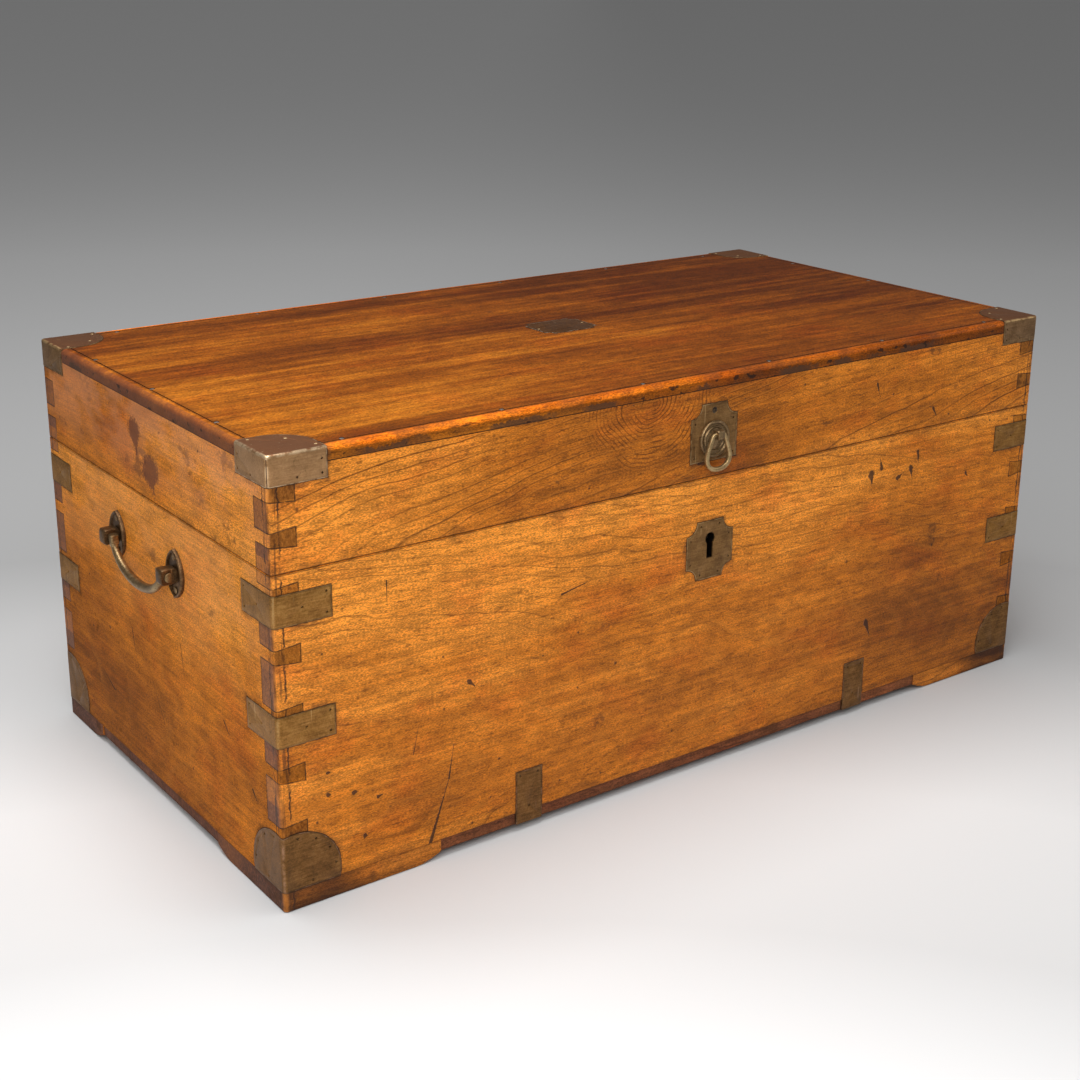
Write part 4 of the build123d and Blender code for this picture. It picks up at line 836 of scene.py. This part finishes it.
def worn_nosing_and_painted_highlight(t, place, edges, patchy, fine_patchy, colour):
    """The top board's rim: rubbed bright along its edge with a painted highlight over the rubbing, scored dark
    inside it beside a band of painted shadow, with old dirt along its foot.
    """
    x, y, z = t.split(place)
    jitter = t.swing(fine_patchy, 0.004)
    depth_in = t.plus(edges["Rim"], jitter)
    top = t.smooth(t.plus(z, jitter), lid_high - 0.0062, lid_high - 0.0040)
    outside = t.math("LESS_THAN", edges["Rim"], outer_skin)
    end, side = from_corner(t, x, y)
    along_front = t.smooth(t.minus(end, side), -0.004, 0.0)
    colour = t.mix(t.times(t.minus(1.0, along_front), outside, 0.50), colour, (0.150, 0.052, 0.024))
    # rubbed pale and a painted highlight: the rounded edge is brightened, most at the left front
    worn = t.times(t.smooth(depth_in, 0.0060, 0.0085, 1.0, 0.0), top, t.smooth(along_front, 0.0, 1.0, 0.16, 1.0),
                   t.smooth(x, -0.30, 0.20, 1.0, 0.45), t.smooth(patchy, 0.32, 0.52, 0.75, 1.0))
    colour = t.mix(worn, colour, t.mix(1.0, colour, (2.70, 2.35, 2.20), "MULTIPLY"))
    score = t.times(t.smooth(depth_in, 0.0095, 0.0110, 1.0, 0.0), t.smooth(depth_in, 0.0080, 0.0095))
    shadow = t.times(t.smooth(depth_in, 0.0098, 0.022, 0.28, 0.0), t.smooth(depth_in, 0.0092, 0.0100))
    colour = t.mix(t.largest(shadow, t.times(score, 0.60)), colour, (0.060, 0.018, 0.007))
    foot = t.plus(z, t.swing(patchy, 0.012), t.swing(fine_patchy, 0.010))
    runs = t.smooth(t.noise(t.stretched(place, (1.0, 1.0, 0.0)), 11.0, 3.0, 0.6), 0.48, 0.56, 0.12, 0.9)
    grime = t.times(t.smooth(foot, rail_high + 0.0052, rail_high + 0.0066, 0.85, 0.0), runs, outside)
    colour = t.mix(grime, colour, (0.058, 0.031, 0.018))
    blob = t.noise(t.stretched(place, (0.6, 0.6, 1.0)), 120.0, 2.0, 0.5)
    blob = t.times(t.smooth(blob, 0.64, 0.68), t.smooth(z, lid_high - 0.0030, lid_high - 0.0050, 0.0, 0.85), outside)
    colour = t.mix(blob, colour, (0.018, 0.010, 0.007))
    joint = t.times(t.smooth(z, rail_high + 0.0003, rail_high + 0.0010, 0.85, 0.0), outside,
                    t.smooth(patchy, 0.42, 0.58, 0.3, 1.0))
    return t.mix(joint, colour, (0.020, 0.010, 0.006))


def shaded_middle(t, place):
    """The lid's front is darker round its pull and pale at both ends, over the painted light and shade of the front.
    """
    x, _, _ = t.split(place)
    dark_x = -0.08
    dip = t.smooth(t.unsigned(t.plus(x, -dark_x)), 0.06, 0.28, -0.28, 0.0)
    return t.plus(painted_light_from_left(t, place), dip, t.smooth(x, 0.10, 0.35, 0.0, 0.02), -0.13)


def painted_light_towards_front(t, place):
    """Painted light: the lid's ends are palest towards the front, with painted shade towards the back."""
    return t.smooth(t.split(place)[1], -0.20, 0.08, 0.32, -0.08)


lid_joints = (lid_low + 0.0315, 0.041)
lid_knot = ((-0.078, front_face, 0.417), (0.80, 0.0, 1.0), 0.085, 0.0040)
rail_marks = on_front(
    (-0.470, 0.418, -0.440, 0.4155, 0.0014),
    (-0.020, 0.345, -0.004, 0.343, 0.0011),
    (0.236, 0.392, 0.240, 0.380, 0.0015),
    (0.330, 0.350, 0.336, 0.340, 0.0017),
)
# the lid front carries painted light from the left
lid_front_wood = camphor("camphor lid front", heart=(-0.50, -0.10, 0.280), spacing=0.0050, taper=-0.10, wander=0.8,
                         seed=5.9, colours=honey, low=lid_low, high=lid_high, joints=lid_joints, marks=rail_marks,
                         knots=(lid_knot,), streaks=0.45, rings=0.88, tone_and_painted_light=shaded_middle)
lid_back_wood = camphor("camphor lid back", heart=(0.2, 0.10, 0.22), spacing=0.007, taper=-0.08, wander=1.2,
                        seed=12.9, colours=umber, low=lid_low, high=lid_high, joints=lid_joints, streaks=0.45)
lid_stains = on_left_end(
    (0.020, 0.392, 0.016, 0.370, 0.013),
    (-0.014, 0.356, -0.018, 0.340, 0.019),
)
# the lid ends carry painted light towards the front and a painted glow on their upper part
lid_end_wood = camphor("camphor lid ends", along="Y", heart=(0.1, 0.38, 0.30), spacing=0.0055, taper=0.05, seed=9.1,
                       colours=umber, low=lid_low, high=lid_high, joints=lid_joints, streaks=0.4, rings=0.4,
                       tone_and_painted_light=painted_light_towards_front, stains=0.58, shine=0.50, gloss=0.10, ends=amber_ends,
                       painted_glow=(0.32, 0.40, 0.42, (0.600, 0.265, 0.140)), spills=lid_stains)
# the top carries painted light and shade, and a painted highlight along its nosing
lid_top_wood = camphor("camphor lid top", heart=(0.0, -0.10, 0.30), spacing=0.0105, taper=0.02, seed=13.7,
                       colours=top_tones, low=rail_high, high=lid_high, streaks=0.95, rings=0.30,
                       tone_and_painted_light=painted_light_on_top, stains=0.70, shine=0.34, gloss=0.09, nosing=worn_nosing_and_painted_highlight)
finish_with(lid_front_wood, "lid_front_rail")
finish_with(lid_back_wood, "lid_back_rail")
finish_with(lid_end_wood, "lid_left_rail", "lid_right_rail")
finish_with(lid_top_wood, "lid_top")

# Lid fittings: a folded brass cap on each corner, a plaque let into the top, and the pull on the front.
# The pull's ring is cast, pale and bright with use, and swings in an eye through a turned boss.
cap_brass = brass("lid cap brass", ((0.210, 0.110, 0.046), (0.415, 0.230, 0.100), (0.600, 0.355, 0.175)),
                  low=lid_low, high=lid_high, mottle=0.7, rubbed=0.62, tarnished_top=(0.235, 0.085, 0.034),
                  worn=(0.90, 0.66, 0.40), spotting=0.25, dents=0.22)
plaque_brass = brass("plaque brass", ((0.080, 0.030, 0.008), (0.170, 0.064, 0.016), (0.260, 0.108, 0.030)),
                     rough=0.34, rubbed=1.0, worn=(0.80, 0.62, 0.44))
ring_brass = brass("rubbed ring brass", ((0.210, 0.130, 0.055), (0.410, 0.275, 0.125), (0.640, 0.470, 0.250)),
                   rough=0.26, metal=0.80, outlined=False, rubbed=0.3, spotting=0.3, dents=0.25)
boss_brass = brass("turned boss brass", ((0.095, 0.054, 0.024), (0.215, 0.135, 0.062), (0.420, 0.285, 0.145)),
                   rough=0.28, metal=0.80, outlined=False, rubbed=0.3, spotting=0.5, dents=0.3)
# painted shade: a darker copy of the lid cap brass, for the caps farther from the lamps
shaded_cap_brass = brass("painted shade lid cap brass", ((0.120, 0.062, 0.026), (0.230, 0.128, 0.056), (0.360, 0.215, 0.105)),
                       low=lid_low, high=lid_high, rubbed=0.40, tarnished_top=(0.200, 0.078, 0.034), spotting=0.35,
                       dents=0.22)
# painted shade: the caps away from the front left corner take the darker copy
for corner in ("front_left", "front_right", "back_left", "back_right"):
    cap_finish = cap_brass if corner == "front_left" else shaded_cap_brass
    worn_metal("lid_cap_" + corner, cap_finish, "sheet_brass", "lid_corner_" + corner, soft=0.0005)
worn_metal("lid_plaque_plate", plaque_brass, "sheet_brass", "lid_plaque")
pull_brass = brass("pull plate brass", plate_tones, low=lid_low, high=lid_high, spotting=0.4, dents=0.3)
worn_metal("pull_back_plate", pull_brass, "sheet_brass", "pull_plate")

forward = Vector((0.0, -1.0, 0.0))
rightward = Vector((1.0, 0.0, 0.0))
low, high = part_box("pull_boss")
seat = Vector(((low.x + high.x) / 2, high.y, (low.z + high.z) / 2))
ring_low, ring_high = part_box("pull_ring")
eye = Vector((seat.x, (ring_low.y + ring_high.y) / 2, ring_high.z - 0.0022))
turned = ((0.0195, 0.0), (0.0195, 0.0014), (0.0191, 0.0024), (0.0182, 0.0030), (0.0171, 0.0028), (0.0163, 0.0018),
          (0.0156, 0.0010), (0.0143, 0.0010), (0.0137, 0.0020), (0.0129, 0.0026), (0.0120, 0.0023), (0.0113, 0.0014),
          (0.0105, 0.0019), (0.0085, 0.0030), (0.0055, 0.0039), (0.0022, 0.0042))
shape = bmesh.new()
skin(shape, [row(shape, seat + forward * level, rightward, up, oval(radius, radius, turns=48))
             for radius, level in turned])
pierced_block(shape, eye, rightward, forward, up, 0.00468, 0.0064, 0.00228, 0.0080)
cast("pull_turned_boss", shape, boss_brass, "cast_brass", "pull_boss")


def smooth_run(points, steps):
    """Points along a smooth closed curve through the given ones."""
    run = []
    count = len(points)
    for i in range(count):
        a, b, c, d = (points[(i + k) % count] for k in (-1, 0, 1, 2))
        for step in range(steps):
            s = step / steps
            squared, cubed = a * 2 - b * 5 + c * 4 - d, b * 3 - a - c * 3 + d
            run.append((b * 2 + (c - a) * s + squared * s * s + cubed * s ** 3) / 2)
    return run


half_ring = ((0.0, 0.0), (0.0046, 0.0), (0.0080, 0.0022), (0.0112, 0.0100), (0.0143, 0.0185), (0.0151, 0.0250),
             (0.0128, 0.0315), (0.0072, 0.0355))
ring_drop = 0.0366
course = [eye + rightward * wide - up * fall for wide, fall in half_ring]
course += [eye - up * ring_drop]
course += [eye - rightward * wide - up * fall for wide, fall in half_ring[:0:-1]]
path = smooth_run(course, 6)
sections = []
for spot in path:
    share = min(1.0, max(0.0, (eye.z - spot.z - 0.003) / 0.020))
    sections.append(oval(0.0021 + 0.0004 * share, 0.0020 + 0.0004 * share, 2.6, turns=16))
shape = bmesh.new()
swept(shape, path, forward, sections, round_trip=True)
cast("pull_ring_casting", shape, ring_brass, "cast_brass", "pull_ring")

# Tacks, nails and screws: brass tacks hold the sheet brass, iron nails the boards, brass screws the castings.
# Each head is turned in its own way and driven in a little out of true.
tack_brass = brass("tack brass", ((0.400, 0.240, 0.110), (0.640, 0.430, 0.210), (0.860, 0.650, 0.370)),
                   rough=0.34, metal=0.55, outlined=False, rubbed=0.3, mottle=0.8, spotting=0.2)
dull_brass = brass("dull screw brass", ((0.030, 0.020, 0.014), (0.075, 0.050, 0.032), (0.200, 0.140, 0.085)),
                   rough=0.30, outlined=False, rubbed=0.3)
screw_brass = brass("screw brass", ((0.110, 0.060, 0.026), (0.280, 0.165, 0.070), (0.480, 0.310, 0.140)),
                    rough=0.32, outlined=False, rubbed=0.3)
nail_iron = iron("nail iron", (0.30, 0.27, 0.24), rough=0.42, rust=0.30)


def heads(node):
    """Where each fastener in a CAD piece ends at its head, with the way the head faces."""
    shape = bmesh.new()
    shape.from_mesh(nodes[node].data)
    bmesh.ops.remove_doubles(shape, verts=shape.verts, dist=0.000002)
    left = dict.fromkeys(shape.verts)
    found = []
    while left:
        reached = [left.popitem()[0]]
        for vertex in reached:
            for link in vertex.link_edges:
                other = link.other_vert(vertex)
                if other in left:
                    del left[other]
                    reached.append(other)
        points = [vertex.co.copy() for vertex in reached]
        low = Vector([min(p[axis] for p in points) for axis in range(3)])
        high = Vector([max(p[axis] for p in points) for axis in range(3)])
        size = high - low
        axis = max(range(3), key=lambda i: size[i])
        slice_depth = size[axis] * 0.2
        middle = (low + high) / 2
        outward = Vector([float(i == axis) for i in range(3)])
        wide_low = max((p - middle).cross(outward).length for p in points if p[axis] < low[axis] + slice_depth)
        wide_high = max((p - middle).cross(outward).length for p in points if p[axis] > high[axis] - slice_depth)
        end = middle.copy()
        if wide_high >= wide_low:
            end[axis] = high[axis]
        else:
            end[axis] = low[axis]
            outward = -outward
        found.append((end, outward, max(wide_low, wide_high), size[axis]))
    shape.free()
    return found


def fastener_tree(name, slotted):
    """A Geometry Nodes tree that turns one head and shank and sets a copy at each point."""
    tree = bpy.data.node_groups.new(name, "GeometryNodeTree")
    sizes = {"Head radius": 0.0011, "Dome": 0.0004, "Rim": 0.0003, "Shank radius": 0.0005, "Length": 0.008,
             "Slot": 0.0006, "Tilt": 0.05}
    tree.interface.new_socket("Points", in_out="INPUT", socket_type="NodeSocketGeometry")
    for label, value in sizes.items():
        tree.interface.new_socket(label, in_out="INPUT", socket_type="NodeSocketFloat").default_value = value
    tree.interface.new_socket("Seed", in_out="INPUT", socket_type="NodeSocketInt")
    tree.interface.new_socket("Finish", in_out="INPUT", socket_type="NodeSocketMaterial")
    tree.interface.new_socket("Fasteners", in_out="OUTPUT", socket_type="NodeSocketGeometry")
    t = Tree(tree)
    given = tree.nodes.new("NodeGroupInput").outputs
    result = tree.nodes.new("NodeGroupOutput").inputs

    def joined(*parts):
        join = tree.nodes.new("GeometryNodeJoinGeometry")
        for part in parts:
            tree.links.new(part, join.inputs[0])
        return join.outputs[0]

    def merged(geometry):
        return t.add("GeometryNodeMergeByDistance", {"Geometry": geometry, "Distance": 0.00001})

    def lowered(geometry, level):
        return t.add("GeometryNodeTransform", {"Geometry": geometry, "Translation": t.point(z=level)})

    rings, turns = 7, 17
    grid = t.node("GeometryNodeMeshGrid", {"Size X": 1.0, "Size Y": 1.0, "Vertices X": turns, "Vertices Y": rings})
    x, y, _ = t.split(t.add("GeometryNodeInputPosition"))
    angle = t.times(t.plus(x, 0.5), math.tau)
    along = t.plus(y, 0.5)
    profile = t.node("ShaderNodeFloatCurve", {0: 1.0, 1: along})
    curve = profile.mapping.curves[0]
    curve.points[0].location = (0.0, 1.0)
    curve.points[-1].location = (1.0, 0.0)
    curve.points.new(0.35, 0.93)
    curve.points.new(0.70, 0.62)
    profile.mapping.update()
    radius = t.times(profile.outputs[0], given["Head radius"])
    rise = t.times(t.math("SINE", t.times(along, math.pi / 2)), given["Dome"])
    turned = t.point(t.times(radius, t.math("COSINE", angle)), t.times(radius, t.math("SINE", angle)),
                     t.minus(rise, given["Dome"]))
    dome = t.add("GeometryNodeSetPosition", {"Geometry": grid.outputs[0], "Position": turned})
    cone = t.add("GeometryNodeMeshCone", {"Vertices": 16, "Radius Top": given["Head radius"],
                                          "Radius Bottom": given["Shank radius"], "Depth": given["Rim"]},
                 fill_type="NGON")
    below = t.times(t.plus(given["Dome"], given["Rim"]), -1.0)
    head_side = lowered(cone, below)
    shank = t.add("GeometryNodeMeshCone", {"Vertices": 8, "Radius Top": given["Shank radius"],
                                           "Radius Bottom": t.times(given["Shank radius"], 0.3),
                                           "Depth": given["Length"]})
    shank = lowered(shank, t.minus(below, given["Length"]))
    cap = merged(dome)
    if slotted:
        size = t.point(t.times(given["Head radius"], 2.4), given["Slot"],
                       t.times(t.plus(given["Dome"], given["Slot"]), 2.0))
        cut = tree.nodes.new("GeometryNodeMeshBoolean")
        cut.operation = "DIFFERENCE"
        tree.links.new(merged(joined(cap, head_side)), cut.inputs["Mesh 1"])
        tree.links.new(t.add("GeometryNodeMeshCube", {"Size": size}), cut.inputs["Mesh 2"])
        whole = joined(cut.outputs["Mesh"], shank)
    else:
        whole = joined(cap, head_side, shank)
    outward = t.add("GeometryNodeInputNamedAttribute", {"Name": "outward"}, data_type="FLOAT_VECTOR")
    lean = t.add("FunctionNodeRandomValue", {0: (-1.0, -1.0, -1.0), 1: (1.0, 1.0, 1.0), "Seed": given["Seed"]},
                 data_type="FLOAT_VECTOR")
    aimed = t.vector("ADD", outward, t.scaled(lean, given["Tilt"]))
    facing = t.add("FunctionNodeAlignRotationToVector", {"Vector": aimed}, axis="Z")
    spin = t.add("FunctionNodeRandomValue", {2: 0.0, 3: math.tau, "Seed": given["Seed"]}, 1, data_type="FLOAT")
    turn = t.add("FunctionNodeAxisAngleToRotation", {"Axis": (0.0, 0.0, 1.0), "Angle": spin})
    set_turn = t.add("FunctionNodeRotateRotation", {"Rotation": facing, "Rotate By": turn}, rotation_space="LOCAL")
    placed = t.add("GeometryNodeInstanceOnPoints", {"Points": given["Points"], "Instance": whole,
                                                    "Rotation": set_turn})
    real = t.add("GeometryNodeRealizeInstances", {"Geometry": placed})
    smooth = t.add("GeometryNodeSetShadeSmooth", {"Geometry": real, "Shade Smooth": True})
    t.feed(result[0], t.add("GeometryNodeSetMaterial", {"Geometry": smooth, "Material": given["Finish"]}))
    return tree


plain_heads = fastener_tree("turned heads", slotted=False)
slotted_heads = fastener_tree("slotted heads", slotted=True)


def drive(name, tree, finish, material_slot, node, seed, dome, rim, shank, tilt=0.04, widen=1.0, sunk=0.0):
    """Sets a fastener at every place where the CAD piece has one."""
    found = heads(node)
    points = bpy.data.meshes.new(name + "_points")
    points.from_pydata([tuple(spot - direction * sunk) for spot, direction, _, _ in found], [], [])
    outward = points.attributes.new("outward", "FLOAT_VECTOR", "POINT")
    for item, (_, direction, _, _) in zip(outward.data, found):
        item.vector = direction
    carrier = bpy.data.objects.new(name + "_points", points)
    bpy.context.scene.collection.objects.link(carrier)
    modifier = carrier.modifiers.new("fasteners", "NODES")
    modifier.node_group = tree
    radius = max(reach for _, _, reach, _ in found) * widen
    length = min(long for _, _, _, long in found) * 0.85
    values = {"Head radius": radius, "Dome": dome, "Rim": rim, "Shank radius": shank, "Length": length,
              "Slot": 0.0006, "Tilt": tilt, "Seed": seed, "Finish": finish}
    for socket in tree.interface.items_tree:
        if socket.in_out == "INPUT" and socket.name in values:
            modifier[socket.identifier] = values[socket.name]
    evaluated = carrier.evaluated_get(bpy.context.evaluated_depsgraph_get())
    mesh = bpy.data.meshes.new_from_object(evaluated)
    carrier.modifiers.clear()
    bpy.data.objects.remove(carrier)
    mesh.set_sharp_from_angle(angle=math.radians(40))
    return put(name, mesh, finish, nodes[node]["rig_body"], material_slot, node)


drive("brass_tacks_case", plain_heads, tack_brass, "tack_brass", "case_tacks", 3, 0.0003, 0.0003, 0.0006,
      widen=1.25)
drive("brass_tacks_lid", plain_heads, tack_brass, "tack_brass", "lid_tacks", 5, 0.00025, 0.0003, 0.0006, tilt=0.01,
      widen=1.40, sunk=0.00002)
drive("handle_screw_heads", slotted_heads, screw_brass, "cast_brass", "handle_screws", 7, 0.0006, 0.0012, 0.0012)
drive("lock_screw_heads", slotted_heads, screw_brass, "cast_brass", "lock_screws", 9, 0.0003, 0.0012, 0.0010)
drive("staple_screw_heads", slotted_heads, screw_brass, "cast_brass", "link_screws", 11, 0.0003, 0.0012, 0.0010)
drive("hinge_screw_heads_case", slotted_heads, screw_brass, "hinge_brass", "hinge_screws_lower", 13, 0.0003, 0.0016,
      0.0014, tilt=0.0)
drive("hinge_screw_heads_lid", slotted_heads, screw_brass, "hinge_brass", "hinge_screws_upper", 15, 0.0003, 0.0016,
      0.0014, tilt=0.0)
drive("pull_screw_head", slotted_heads, dull_brass, "cast_brass", "pull_screw", 17, 0.0006, 0.0010, 0.0012)
drive("lid_nail_heads", plain_heads, nail_iron, "iron", "lid_nails", 19, 0.0003, 0.0004, 0.0012, tilt=0.02,
      widen=0.85, sunk=0.0001)
drive("base_nail_heads", plain_heads, nail_iron, "iron", "base_nails", 21, 0.0003, 0.0004, 0.0012, tilt=0.0,
      sunk=0.0001)

# Studio: a pale sweep whose grey is painted with light falloff, darker away from the camera, and with painted shade
# towards the right of the view, under large soft lamps at the left, the right and above.
# The camera stands where the photograph was taken from, a little above the lid.
reach = 60.0
sweep_mesh = bpy.data.meshes.new("sweep")
sweep_mesh.from_pydata([(x * reach, y * reach, -0.0005) for x, y in ((-1, -1), (1, -1), (1, 1), (-1, 1))], [],
                       [(0, 1, 2, 3)])
sweep = bpy.data.objects.new("sweep", sweep_mesh)
bpy.context.scene.collection.objects.link(sweep)
sweep_finish, t, sweep_surface = new_finish("pale sweep")
sweep_place = t.add("ShaderNodeTexCoord", out="Object")
# painted light: the floor's grey falls off away from the camera, and painted shade darkens it towards the right of
# the view
away = t.vector("DISTANCE", sweep_place, (-1.1, -1.5, 0.0))
octaves = t.math("DIVIDE", t.math("LOGARITHM", away, 2.0), 5.0)
stops = ((0.04, 0.76), (0.085, 0.61), (0.14, 0.66), (0.25, 0.345), (0.45, 0.53), (0.65, 0.51), (0.90, 0.49))
painted_falloff_grey = t.ramp(octaves, [(place, (shade, shade, shade)) for place, shade in stops])
side_for_painted_shade = t.vector("DOT_PRODUCT", sweep_place, (0.797, -0.604, 0.0))
t.feed(sweep_surface.inputs["Base Color"], t.scaled(painted_falloff_grey, t.smooth(side_for_painted_shade, -0.8, 0.8, 1.07, 0.93)))
sweep_surface.inputs["Roughness"].default_value = 0.9
sweep_mesh.materials.append(sweep_finish)

world = bpy.data.worlds.new("studio air")
bpy.context.scene.world = world
world.use_nodes = True
t = Tree(world.node_tree)
backdrop = world.node_tree.nodes["Background"]
rays = t.node("ShaderNodeLightPath").outputs
seen = t.largest(rays["Is Camera Ray"], rays["Is Glossy Ray"])
t.feed(backdrop.inputs["Color"], t.mix(seen, (1.0, 1.0, 1.0), (0.13, 0.13, 0.13)))
t.feed(backdrop.inputs["Strength"], t.smooth(seen, 0.0, 1.0, 0.30, 1.0))


def lamp(name, place, aim, width, height, power):
    """A soft rectangular lamp aimed at a point."""
    light = bpy.data.lights.new(name, "AREA")
    light.shape = "RECTANGLE"
    light.size = width
    light.size_y = height
    light.energy = power
    holder = bpy.data.objects.new(name, light)
    holder.location = place
    holder.rotation_euler = (Vector(aim) - Vector(place)).to_track_quat("-Z", "Y").to_euler()
    bpy.context.scene.collection.objects.link(holder)


lamp("key", (-2.0, -2.3, 2.2), (0.0, 0.0, 0.2), 2.0, 1.6, 56.0)
lamp("fill", (2.4, -1.6, 1.4), (0.0, 0.0, 0.2), 2.0, 1.6, 14.0)
lamp("top", (-0.5, -0.1, 2.6), (-0.1, 0.0, 0.4), 2.0, 1.4, 62.0)

turned_about_z = Matrix.Rotation(-0.64883, 4, "Z")
tipped = Matrix.Rotation(-0.30801, 4, "X")
leaning = Matrix.Rotation(-0.01435, 4, "Y")
looking = Matrix.Rotation(math.radians(90.0), 4, "X")
lens = bpy.data.cameras.new("camera")
lens.lens = 56.925
lens.sensor_width = 36.0
lens.shift_x = -0.0374
lens.shift_y = -0.0604
camera = bpy.data.objects.new("camera", lens)
stand = Matrix.Translation((-1.11333, -1.50487, 0.85782))
camera.matrix_world = stand @ turned_about_z @ tipped @ leaning @ looking
bpy.context.scene.collection.objects.link(camera)
bpy.context.scene.camera = camera
bpy.context.scene.view_settings.view_transform = "Standard"
